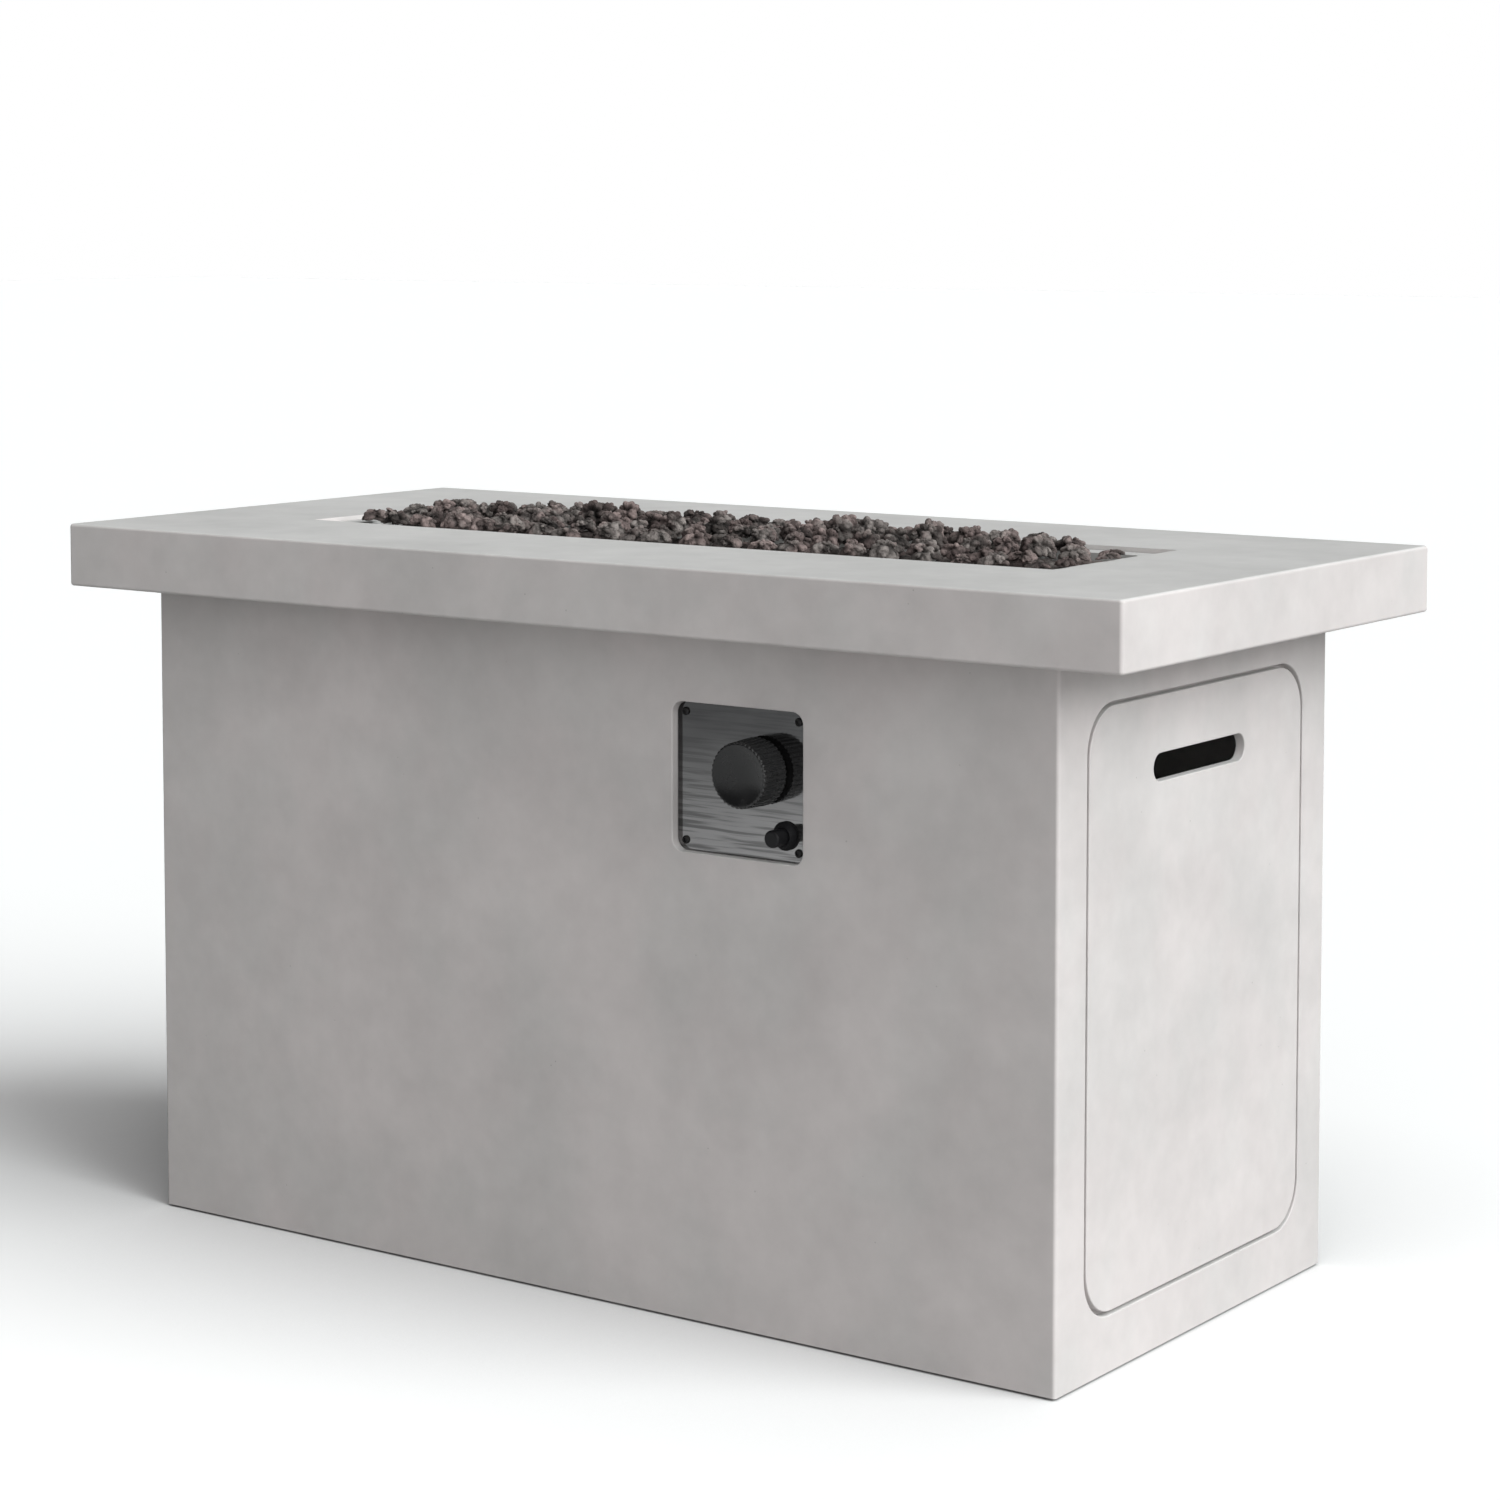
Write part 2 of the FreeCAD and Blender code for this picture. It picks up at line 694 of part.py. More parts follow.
def make_base_shell():
    """Open-topped box with a sill for the floor plate and stepped door and control openings."""
    body = new_body("base_shell")

    def footprint(sketch):
        rounded_rectangle(sketch, "-base_length / 2", "base_length / 2", "-base_width / 2",
                          "base_width / 2", "base_corner_radius")

    pad_on(body, "XY", "foot_height", footprint, f"{TOP_UNDERSIDE} - foot_height")
    cut_on(body, "XY", TOP_UNDERSIDE,
           lambda sketch: centred_rectangle(sketch, INNER_LENGTH, INNER_WIDTH),
           f"{TOP_UNDERSIDE} - {FLOOR_PLATE_BOTTOM}", "-")
    cut_on(body, "XY", FLOOR_PLATE_BOTTOM,
           lambda sketch: centred_rectangle(sketch, f"{INNER_LENGTH} - 2 * sill_width",
                                            f"{INNER_WIDTH} - 2 * sill_width"),
           "sill_height", "-")
    cut_on(body, "XY", "foot_height", draw_circles(foot_places(), "foot_radius + screw_gap"),
           "foot_seat_depth")
    door_cut = cut_on(body, "YZ", "base_length / 2",
                      lambda sketch: door_outline(sketch, "0", "door_corner_radius"), DOOR_RECESS, "-")
    end_face, door_side = number("base_length / 2"), number("door_opening_width / 2")
    round_edges(body, door_cut, "opening_edge_round",
                lambda edge: edge.BoundBox.XMin > end_face - NEAR and edge.BoundBox.YMax < door_side + NEAR
                and edge.BoundBox.YMin > -door_side - NEAR and edge.BoundBox.ZMin > number("foot_height") + NEAR
                and edge.BoundBox.ZMax < number(TOP_UNDERSIDE) - NEAR)
    cut_on(body, "YZ", "base_length / 2",
           lambda sketch: door_outline(sketch, "door_lip", "(door_corner_radius - door_lip)"),
           "base_wall", "-")
    cut_on(body, "YZ", DOOR_SEAT_X, draw_circles(magnet_places(), "strike_radius + screw_gap"),
           "strike_thickness", "-")
    control_cut = cut_on(body, "XZ", "-base_width / 2",
                         lambda sketch: control_outline(sketch, "0", "control_corner_radius"), CONTROL_RECESS)
    front_face, control_side = number("-base_width / 2"), number("control_middle_x + control_width / 2")
    round_edges(body, control_cut, "opening_edge_round",
                lambda edge: edge.BoundBox.YMax < front_face + NEAR and edge.BoundBox.XMax < control_side + NEAR
                and edge.BoundBox.XMin > control_side - number("control_width") - NEAR)
    cut_on(body, "XZ", "-base_width / 2",
           lambda sketch: control_outline(sketch, "control_lip", "base_corner_radius"), "base_wall")
    cut_on(body, "XZ", "-base_width / 2",
           lambda sketch: circle(sketch, "igniter_x", "igniter_height_above_floor",
                                 "igniter_barrel_radius + igniter_notch_gap"), "base_wall")
    cut_on(body, "XZ", "-base_width / 2",
           draw_circles(plate_screw_places(), "plate_screw_radius + screw_gap"), "base_wall")
    cut_on(body, "XZ", "base_width / 2", draw_vents, "base_wall", "-")
    cut_on(body, "XZ", "base_width / 2",
           draw_circles(vent_screw_places(), "screw_radius + screw_gap"), "base_wall", "-")
    wall_screws = draw_circles(bracket_wall_screws(), "screw_radius + screw_gap")
    screw_bite = "(screw_length - bracket_sheet + screw_gap)"
    cut_on(body, "XZ", f"-{INNER_WIDTH} / 2", wall_screws, screw_bite, "-")
    cut_on(body, "XZ", f"{INNER_WIDTH} / 2", wall_screws, screw_bite)


def make_feet():
    """Rubber pads let into the base's underside."""
    body = new_body("base_feet", allow_groups=True)
    pad_on(body, "XY", "0", draw_circles(foot_places(), "foot_radius"), "foot_height + foot_seat_depth")


def make_floor_plate():
    """Steel plate that rests on the base's sill, slotted for air at the end away from the cylinder."""
    body = new_body("floor_plate")
    pad_on(body, "XY", FLOOR_PLATE_BOTTOM,
           lambda sketch: centred_rectangle(sketch, f"{INNER_LENGTH} - 2 * floor_plate_gap",
                                            f"{INNER_WIDTH} - 2 * floor_plate_gap"),
           "floor_plate_thickness")

    def vents(sketch):
        for index in range(int(number("floor_vent_count"))):
            middle = f"(-base_length / 4 + floor_vent_pitch * {index - (number('floor_vent_count') - 1) / 2})"
            rectangle(sketch, f"{middle} - floor_vent_width / 2", f"{middle} + floor_vent_width / 2",
                      "-floor_vent_length / 2", "floor_vent_length / 2")

    cut_on(body, "XY", FLOOR_PLATE_TOP, vents, "floor_plate_thickness", "-")


def make_tank_ring():
    """Upright ring that locates the gas cylinder's foot."""
    body = new_body("tank_ring")

    def ring(sketch):
        circle(sketch, TANK_X, "0", "tank_seat_radius")
        circle(sketch, TANK_X, "0", "tank_seat_radius + tank_ring_wall")

    pad_on(body, "XY", FLOOR_PLATE_TOP, ring, "tank_ring_height")


def make_corner_brackets():
    """Four angle brackets between the long walls and the slab."""
    body = new_body("corner_brackets", allow_groups=True)
    for side in ("", "-"):
        def angles(sketch):
            for sign in ("", "-"):
                wall = f"{sign}({INNER_WIDTH} / 2)"
                face = f"{sign}({INNER_WIDTH} / 2 - bracket_sheet)"
                tip = f"{sign}({INNER_WIDTH} / 2 - bracket_leg)"
                outline(sketch, [
                    (wall, TOP_UNDERSIDE), (tip, TOP_UNDERSIDE), (tip, f"{TOP_UNDERSIDE} - bracket_sheet"),
                    (face, f"{TOP_UNDERSIDE} - bracket_sheet"), (face, f"{TOP_UNDERSIDE} - bracket_leg"),
                    (wall, f"{TOP_UNDERSIDE} - bracket_leg"),
                ])
        outer_end = f"{side}({INNER_LENGTH} / 2 - bracket_end_distance)"
        pad_on(body, "YZ", outer_end, angles, "bracket_length", "+" if side else "-")
    cut_on(body, "XY", TOP_UNDERSIDE,
           draw_circles(bracket_screw_places(), "screw_radius + screw_gap"), "bracket_sheet", "-")
    for sign, towards in (("", "-"), ("-", "+")):
        cut_on(body, "XZ", f"{sign}({INNER_WIDTH} / 2)",
               draw_circles(bracket_wall_screws(), "screw_radius + screw_gap"), "bracket_sheet", towards)


def make_screws(label, groups):
    """Pan-head screws, as one node: each group has its places, seat, plane and the way it points."""
    body = new_body(label, allow_groups=True)
    for places, plane, seat, points_to in groups:
        head_side = "-" if points_to == "+" else "+"
        pad_on(body, plane, seat, draw_circles(places, "screw_head_radius"), "screw_head_height", head_side)
        pad_on(body, plane, seat, draw_circles(places, "screw_radius"), "screw_length - screw_gap", points_to)


# Door

def make_door_panel():
    """Flush end door with a finger slot and seats for four magnets."""
    body = new_body("door_panel")
    pad_on(body, "YZ", "base_length / 2",
           lambda sketch: door_outline(sketch, "door_gap", "door_corner_radius"),
           "door_thickness", "-")
    slotted = cut_on(body, "YZ", "base_length / 2",
                     lambda sketch: slot_outline(sketch, "slot_length", "slot_height", "slot_middle_height"),
                     "door_thickness", "-")
    face = number("base_length / 2")
    round_edges(body, slotted, "door_edge_round", lambda edge: edge.BoundBox.XMin > face - NEAR)
    cut_on(body, "YZ", DOOR_BACK_X, draw_circles(magnet_places(), "magnet_radius + screw_gap"),
           "magnet_thickness")


def make_door_magnets():
    """Four disc magnets, flush with the door's back."""
    body = new_body("door_magnets", allow_groups=True)
    pad_on(body, "YZ", DOOR_BACK_X, draw_circles(magnet_places(), "magnet_radius"), "magnet_thickness")


def make_strike_plates():
    """Four steel discs, flush with the seat that the door closes on."""
    body = new_body("strike_plates", allow_groups=True)
    pad_on(body, "YZ", DOOR_SEAT_X, draw_circles(magnet_places(), "strike_radius"), "strike_thickness", "-")


# Control plate

def make_control_plate():
    """Steel plate set back in the front wall."""
    body = new_body("control_plate")
    pad_on(body, "XZ", PLATE_FACE_Y,
           lambda sketch: control_outline(sketch, "plate_gap", "(control_corner_radius - plate_gap)"),
           "plate_thickness")

    def holes(sketch):
        circle(sketch, "knob_x", "knob_height_above_floor", "bonnet_radius + screw_gap")
        circle(sketch, "igniter_x", "igniter_height_above_floor", "igniter_barrel_radius + igniter_hole_gap")
        for x, height in plate_screw_places():
            circle(sketch, x, height, "plate_screw_radius + screw_gap")

    cut_on(body, "XZ", PLATE_FACE_Y, holes, "plate_thickness")


def make_plate_screws():
    """Four button-head screws through the control plate."""
    body = new_body("plate_screws", allow_groups=True)
    heads = pad_on(body, "XZ", PLATE_FACE_Y,
                   draw_circles(plate_screw_places(), "plate_screw_head_radius"),
                   "plate_screw_head_height", "-")
    front = number(f"{PLATE_FACE_Y} - plate_screw_head_height")
    round_edges(body, heads, "plate_screw_head_height * 0.6", lambda edge: edge.BoundBox.YMax < front + NEAR)
    pad_on(body, "XZ", PLATE_FACE_Y, draw_circles(plate_screw_places(), "plate_screw_radius"),
           "plate_screw_length")


# Knob and valve

def make_control_knob():
    """Hollow fluted knob with a hub for the valve's stem."""
    body = new_body("control_knob")
    on_control_plate(body, "knob_x", "knob_height_above_floor")
    inside_front = "knob_front - knob_front_wall"
    hub_back = "bonnet_front + knob_travel + 2 * moving_gap"
    stem_bore = "stem_radius + stem_fit"
    shell = revolve(body, [
        (stem_bore, hub_back), ("knob_hub_radius", hub_back), ("knob_hub_radius", inside_front),
        ("knob_front_radius - knob_side_wall", inside_front),
        ("knob_radius - knob_side_wall", "knob_standoff"), ("knob_radius", "knob_standoff"),
        ("knob_front_radius", "knob_front"), ("knob_dish_radius", "knob_front"),
        ("knob_dish_radius - 2 * knob_dish_depth", "knob_front - knob_dish_depth"),
        ("0", "knob_front - knob_dish_depth"), ("0", inside_front), (stem_bore, inside_front),
    ])
    front, rim = number("knob_front"), number("knob_front_radius")
    round_edges(body, shell, "knob_edge_round",
                lambda edge: is_level(edge, front) and edge.BoundBox.XLength > 2 * rim - NEAR)
    flute = cut_on(body, "XY", "knob_standoff",
                   lambda sketch: circle(sketch, "knob_radius + flute_radius - flute_depth", "0",
                                         "flute_radius"),
                   "knob_front - knob_standoff - flute_end")
    pattern = body.newObject("PartDesign::PolarPattern", "knob_flutes")
    pattern.Originals = [flute]
    pattern.Axis = (flute.Profile[0], ["N_Axis"])
    pattern.Angle = FULL_TURN
    pattern.setExpression("Occurrences", bound("knob_flutes"))
    body.Tip = pattern


def make_valve_stem():
    """Stem that turns and slides in the valve, with a flat for the knob's hub."""
    body = new_body("valve_stem")
    on_control_plate(body, "knob_x", "knob_height_above_floor")
    stem_front = "(knob_front - knob_front_wall)"
    pad_on(body, "XY", "-stem_tail", lambda sketch: circle(sketch, "0", "0", "stem_radius"),
           f"stem_tail + {stem_front}")
    cut_on(body, "XY", stem_front,
           lambda sketch: rectangle(sketch, "-stem_radius", "stem_radius",
                                    "stem_radius - stem_flat_depth", "stem_radius + stem_flat_depth"),
           "stem_engagement", "-")


def make_valve_collar():
    """Collar that the stem pushes in against the valve's spring."""
    body = new_body("valve_collar")
    on_control_plate(body, "knob_x", "knob_height_above_floor")
    front = "(bonnet_front - bonnet_lip - moving_gap)"

    def ring(sketch):
        circle(sketch, "0", "0", "stem_radius + moving_gap")
        circle(sketch, "0", "0", "collar_radius")

    pad_on(body, "XY", front, ring, "collar_thickness", "-")


def make_coil_spring(label, x, height, low, high, coil_radius, wire, turns):
    """Compression spring as one unbroken tube of quarter-turn arcs about the piece's axis."""
    base = number(low)
    rise = number(high) - base - number(wire)
    radius, wire_radius = number(coil_radius), number(wire) / 2
    quarters = int(round(4 * number(turns)))

    def point(quarter):
        turn = quarter * math.pi / 2
        level = base + wire_radius + rise * quarter / quarters
        return FreeCAD.Vector(radius * math.cos(turn), radius * math.sin(turn), level)

    arcs = [Part.Arc(point(index), point(index + 0.5), point(index + 1)).toShape() for index in range(quarters)]
    path = Part.Wire(arcs)
    start = path.Edges[0].tangentAt(path.Edges[0].FirstParameter)
    section = Part.Wire([Part.Circle(point(0), start, wire_radius).toShape()])
    spring = doc.addObject("Part::Feature", label)
    spring.Label = label
    spring.Shape = path.makePipeShell([section], True, False)
    nodes[label] = spring
    spring.Placement = FreeCAD.Placement(FreeCAD.Vector(number(x), number(PLATE_FACE_Y), number(height)),
                                         OUT_OF_PLATE)


def make_valve_body():
    """Brass valve with a bonnet through the plate, an outlet on top and a port for the flame sensor."""
    body = new_body("valve_body")
    on_control_plate(body, "knob_x", "knob_height_above_floor")

    def block(sketch):
        rounded_rectangle(sketch, "-valve_width / 2", "valve_width / 2", "-valve_rise / 2",
                          "valve_rise / 2", "valve_corner_radius")

    pad_on(body, "XY", "-valve_back", block, "valve_back - valve_front")
    pad_on(body, "XY", "-valve_front", lambda sketch: circle(sketch, "0", "0", "bonnet_radius"),
           "valve_front + bonnet_front")
    cut_on(body, "XY", "bonnet_front", lambda sketch: circle(sketch, "0", "0", "bonnet_lip_radius"),
           "bonnet_lip", "-")
    stem_bore = "stem_tail + knob_travel + 2 * moving_gap + bonnet_front"
    cut_on(body, "XY", "bonnet_front",
           lambda sketch: circle(sketch, "0", "0", "stem_radius + stem_fit"), stem_bore, "-")
    cavity = new_sketch(body, "XZ", "0")
    cavity_top = "bonnet_front - bonnet_lip"
    rectangle(cavity, "0", "bonnet_cavity_radius", f"{cavity_top} - bonnet_cavity_depth", cavity_top)
    groove = body.newObject("PartDesign::Groove", "bonnet_cavity")
    groove.Profile = cavity
    groove.ReferenceAxis = (cavity, ["V_Axis"])
    groove.Angle = FULL_TURN
    for shift, radius, length in (("-outlet_shift", "outlet_radius", "outlet_length"),
                                  ("sensor_port_shift", "sensor_port_radius", "sensor_port_length")):
        pad_on(body, "XZ", "valve_rise / 2",
               lambda sketch: circle(sketch, shift, "-valve_port_depth", radius), length)


def make_valve_nut():
    """Nut that clamps the valve's bonnet to the control plate."""
    body = new_body("valve_nut")
    on_control_plate(body, "knob_x", "knob_height_above_floor")

    def section(sketch):
        hexagon(sketch, "0", "0", "valve_nut_flats")
        circle(sketch, "0", "0", "bonnet_radius + stem_fit")

    pad_on(body, "XY", "0", section, "valve_nut_thickness")


def make_gas_inlet():
    """Flare fitting on the valve's side, where the cylinder's hose screws on."""
    body = new_body("gas_inlet_fitting")
    on_control_plate(body, "knob_x", "knob_height_above_floor")
    face = "-valve_width / 2"
    axis = "-valve_port_depth"

    def bored(draw_outside):
        def draw(sketch):
            draw_outside(sketch)
            circle(sketch, "0", axis, "inlet_bore_radius")
        return draw

    pad_on(body, "YZ", face, bored(lambda sketch: hexagon(sketch, "0", axis, "inlet_hex_flats")),
           "inlet_hex_length", "-")
    pad_on(body, "YZ", f"{face} - inlet_hex_length",
           bored(lambda sketch: circle(sketch, "0", axis, "inlet_radius")), "inlet_length", "-")


# Igniter

def make_igniter_housing():
    """Collar and bored barrel of the push igniter, with a lead terminal on top."""
    body = new_body("igniter_housing")
    on_control_plate(body, "igniter_x", "igniter_height_above_floor")
    revolve(body, [
        ("igniter_bore_radius", "igniter_collar_height"),
        ("igniter_bore_radius", "-igniter_bore_depth"), ("0", "-igniter_bore_depth"),
        ("0", "-igniter_barrel_depth"), ("igniter_barrel_radius", "-igniter_barrel_depth"),
        ("igniter_barrel_radius", "0"), ("igniter_collar_radius", "0"),
        ("igniter_collar_radius", "igniter_collar_rim"),
        ("igniter_bore_radius + igniter_collar_lip", "igniter_collar_height"),
    ])
    wall_middle = "(igniter_barrel_radius + igniter_bore_radius) / 2"
    pad_on(body, "XZ", wall_middle,
           lambda sketch: circle(sketch, "0", "-terminal_depth", "terminal_radius"),
           f"igniter_barrel_radius + terminal_length - {wall_middle}")


def make_igniter_nut():
    """Nut behind the plate on the igniter's barrel."""
    body = new_body("igniter_nut")
    on_control_plate(body, "igniter_x", "igniter_height_above_floor")

    def section(sketch):
        hexagon(sketch, "0", "0", "igniter_nut_flats")
        circle(sketch, "0", "0", "igniter_barrel_radius + stem_fit")

    pad_on(body, "XY", "-plate_thickness", section, "igniter_nut_thickness", "-")


def make_igniter_button():
    """Push button with a rounded front."""
    body = new_body("igniter_button")
    on_control_plate(body, "igniter_x", "igniter_height_above_floor")
    blank = pad_on(body, "XY", "-button_back", lambda sketch: circle(sketch, "0", "0", "button_radius"),
                   "button_back + button_front")
    front = number("button_front")
    round_edges(body, blank, "button_edge_round", lambda edge: is_level(edge, front))


# Burner

def make_burner_pan():
    """Sheet pan whose flange rests in the slab's rebate."""
    body = new_body("burner_pan")
    pad_on(body, "XY", REBATE_FLOOR,
           lambda sketch: centred_rectangle(sketch, "fire_opening_length - 2 * pan_edge_gap",
                                            "fire_opening_width - 2 * pan_edge_gap"), "pan_sheet")

    def well(sketch, growth):
        rounded_rectangle(sketch, f"-well_length / 2 - {growth}", f"well_length / 2 + {growth}",
                          f"-well_width / 2 - {growth}", f"well_width / 2 + {growth}",
                          f"(well_corner_radius + {growth})")

    pad_on(body, "XY", PAN_UNDERSIDE, lambda sketch: well(sketch, "pan_sheet"),
           f"{FLANGE_TOP} - {PAN_UNDERSIDE}")
    cut_on(body, "XY", FLANGE_TOP, lambda sketch: well(sketch, "0"), "well_depth", "-")

    def holes(sketch):
        circle(sketch, "0", "0", "stub_radius + stub_hole_gap")
        circle(sketch, "electrode_x", "ignition_y", "electrode_radius + ignition_hole_gap")
        circle(sketch, "sensor_x", "ignition_y", "sensor_radius + ignition_hole_gap")

    cut_on(body, "XY", PAN_FLOOR, holes, "pan_sheet", "-")


def make_burner_tube():
    """Ported burner tube with an inlet stub that passes down through the pan."""
    body = new_body("burner_tube")
    pad_on(body, "YZ", "-burner_length / 2",
           lambda sketch: circle(sketch, "0", BURNER_HEIGHT, "burner_radius"), "burner_length")
    pad_on(body, "XY", STUB_BOTTOM, lambda sketch: circle(sketch, "0", "0", "stub_radius"),
           f"{BURNER_HEIGHT} - {STUB_BOTTOM}")
    pad_on(body, "XY", PAN_FLOOR, lambda sketch: circle(sketch, "0", "0", "stub_washer_radius"),
           "stub_washer_thickness")
    cut_on(body, "YZ", "-burner_length / 2",
           lambda sketch: circle(sketch, "0", BURNER_HEIGHT, "burner_radius - burner_wall"),
           "burner_length")
    cut_on(body, "XY", STUB_BOTTOM, lambda sketch: circle(sketch, "0", "0", "stub_bore_radius"),
           f"{BURNER_HEIGHT} - {STUB_BOTTOM}")
    count = int(number("burner_port_count"))
    ports = [(f"burner_port_pitch * {index - (count - 1) / 2}", "0") for index in range(count)]
    cut_on(body, "XY", BURNER_HEIGHT, draw_circles(ports, "burner_port_radius"), "burner_radius")


def make_burner_end_caps():
    """Caps over the burner tube's two ends."""
    body = new_body("burner_end_caps", allow_groups=True)
    for sign, towards in (("", "-"), ("-", "+")):
        end = f"{sign}(burner_length / 2 + burner_cap_wall)"
        bottom = f"{sign}(burner_length / 2)"
        outside = "burner_radius + saddle_gap + burner_cap_wall"
        pad_on(body, "YZ", end, lambda sketch: circle(sketch, "0", BURNER_HEIGHT, outside),
               "burner_cap_length + burner_cap_wall", towards)
        cut_on(body, "YZ", bottom,
               lambda sketch: circle(sketch, "0", BURNER_HEIGHT, "burner_radius + saddle_gap"),
               "burner_cap_length", towards)


def make_burner_brackets():
    """Two saddles that hold the burner tube off the pan's floor."""
    body = new_body("burner_brackets", allow_groups=True)
    half_foot, half_top = "saddle_foot / 2", "(burner_radius + 2 * burner_wall)"
    top = f"{PAN_FLOOR} + saddle_top"
    step = f"{PAN_FLOOR} + pan_sheet"

    def profile(sketch):
        outline(sketch, [
            (f"-{half_foot}", PAN_FLOOR), (half_foot, PAN_FLOOR), (half_foot, step), (half_top, step),
            (half_top, top), (f"-{half_top}", top), (f"-{half_top}", step), (f"-{half_foot}", step),
        ])

    for sign in ("", "-"):
        start = f"{sign}(saddle_distance + saddle_width / 2)"
        towards = "+" if sign else "-"
        pad_on(body, "YZ", start, profile, "saddle_width", towards)
        cut_on(body, "YZ", start,
               lambda sketch: circle(sketch, "0", BURNER_HEIGHT, "burner_radius + saddle_gap"),
               "saddle_width", towards)


def make_elbow_nut():
    """Locknut that clamps the burner's stub to the pan."""
    body = new_body("elbow_nut")

    def section(sketch):
        hexagon(sketch, "0", "0", "locknut_flats")
        circle(sketch, "0", "0", "stub_radius + saddle_gap")

    pad_on(body, "XY", PAN_UNDERSIDE, section, "locknut_thickness", "-")


def primitive(kind, name, sizes, place, turned=False):
    """Add a Part primitive with its sizes and place driven by the sheet."""
    item = doc.addObject(kind, name)
    for size, text in sizes.items():
        item.setExpression(size, bound(text))
    if turned:
        item.Placement = FreeCAD.Placement(FreeCAD.Vector(), FreeCAD.Rotation(FreeCAD.Vector(0, 1, 0), 90))
    for axis, text in zip("xyz", place):
        item.setExpression(f"Placement.Base.{axis}", bound(text))
    return item


def make_burner_elbow():
    """Brass elbow from the level air mixer up to the burner's stub."""
    drop, reach = "elbow_drop", "elbow_reach"
    corner = ("0", "0", ELBOW_HEIGHT)

    def bend(name, radius):
        upright = primitive("Part::Cylinder", name + "_upright", {"Radius": radius, "Height": drop}, corner)
        level = primitive("Part::Cylinder", name + "_level", {"Radius": radius, "Height": reach}, corner, True)
        knee = primitive("Part::Sphere", name + "_knee", {"Radius": radius}, corner)
        joined = doc.addObject("Part::MultiFuse", name)
        joined.Shapes = [upright, level, knee]
        return joined

    elbow = doc.addObject("Part::Cut", "burner_elbow")
    elbow.Label = "burner_elbow"
    elbow.Base = bend("elbow_outside", "elbow_radius")
    elbow.Tool = bend("elbow_bore", "stub_bore_radius")
    nodes["burner_elbow"] = elbow


def make_air_mixer():
    """Short sleeve with four air windows between the injector and the elbow."""
    body = new_body("air_mixer")

    def ring(sketch):
        circle(sketch, "0", ELBOW_HEIGHT, "mixer_radius")
        circle(sketch, "0", ELBOW_HEIGHT, "mixer_radius - mixer_wall")

    pad_on(body, "YZ", "elbow_reach", ring, "mixer_length")
    middle = "(elbow_reach + mixer_length / 2)"
    cut_on(body, "XY", f"{ELBOW_HEIGHT} - mixer_radius",
           lambda sketch: rectangle(sketch, f"{middle} - mixer_window_length / 2",
                                    f"{middle} + mixer_window_length / 2",
                                    "-mixer_window_width / 2", "mixer_window_width / 2"),
           "2 * mixer_radius")
    cut_on(body, "XZ", "-mixer_radius",
           lambda sketch: rectangle(sketch, f"{middle} - mixer_window_length / 2",
                                    f"{middle} + mixer_window_length / 2",
                                    f"{ELBOW_HEIGHT} - mixer_window_width / 2",
                                    f"{ELBOW_HEIGHT} + mixer_window_width / 2"),
           "2 * mixer_radius")


def make_injector():
    """Hex injector that closes the mixer and takes the gas tube."""
    body = new_body("injector")
    pad_on(body, "YZ", MIXER_END, lambda sketch: hexagon(sketch, "0", ELBOW_HEIGHT, "injector_flats"),
           "injector_hex_length")
    pad_on(body, "YZ", f"{MIXER_END} + injector_hex_length",
           lambda sketch: circle(sketch, "0", ELBOW_HEIGHT, "gas_tube_radius + 2 * gas_tube_wall"),
           "injector_nose_length")


# Ignition

def make_ignition_bracket():
    """Plate on the pan's floor with a boss round the electrode and one round the flame sensor."""
    body = new_body("ignition_bracket")
    middle = "(electrode_x + sensor_x) / 2"
    pad_on(body, "XY", PAN_FLOOR,
           lambda sketch: rectangle(sketch, f"{middle} - ignition_plate_length / 2",
                                    f"{middle} + ignition_plate_length / 2",
                                    "ignition_y - ignition_plate_width / 2",
                                    "ignition_y + ignition_plate_width / 2"),
           "ignition_plate_thickness")
    probes = (("electrode_x", "electrode_radius"), ("sensor_x", "sensor_radius"))

    def bosses(sketch):
        for x, radius in probes:
            circle(sketch, x, "ignition_y", f"{radius} + ignition_hole_gap + ignition_boss_wall")

    def holes(sketch):
        for x, radius in probes:
            circle(sketch, x, "ignition_y", f"{radius} + stem_fit")

    pad_on(body, "XY", PAN_FLOOR, bosses, "ignition_boss_height")
    cut_on(body, "XY", PAN_FLOOR, holes, "ignition_boss_height")


def make_spark_electrode():
    """Ceramic sleeve and its wire tip."""
    body = new_body("spark_electrode")
    bottom = f"{PAN_UNDERSIDE} - ignition_drop"
    top = f"({PAN_FLOOR} + electrode_top)"
    pad_on(body, "XY", bottom, lambda sketch: circle(sketch, "electrode_x", "ignition_y", "electrode_radius"),
           f"{top} - ({bottom})")
    pad_on(body, "XY", top, lambda sketch: circle(sketch, "electrode_x", "ignition_y", "electrode_rod_radius"),
           "electrode_rod_length")


def make_thermocouple():
    """Flame sensor beside the electrode."""
    body = new_body("thermocouple")
    bottom = f"{PAN_UNDERSIDE} - ignition_drop"
    pad_on(body, "XY", bottom, lambda sketch: circle(sketch, "sensor_x", "ignition_y", "sensor_radius"),
           f"{PAN_FLOOR} + sensor_top - ({bottom})")


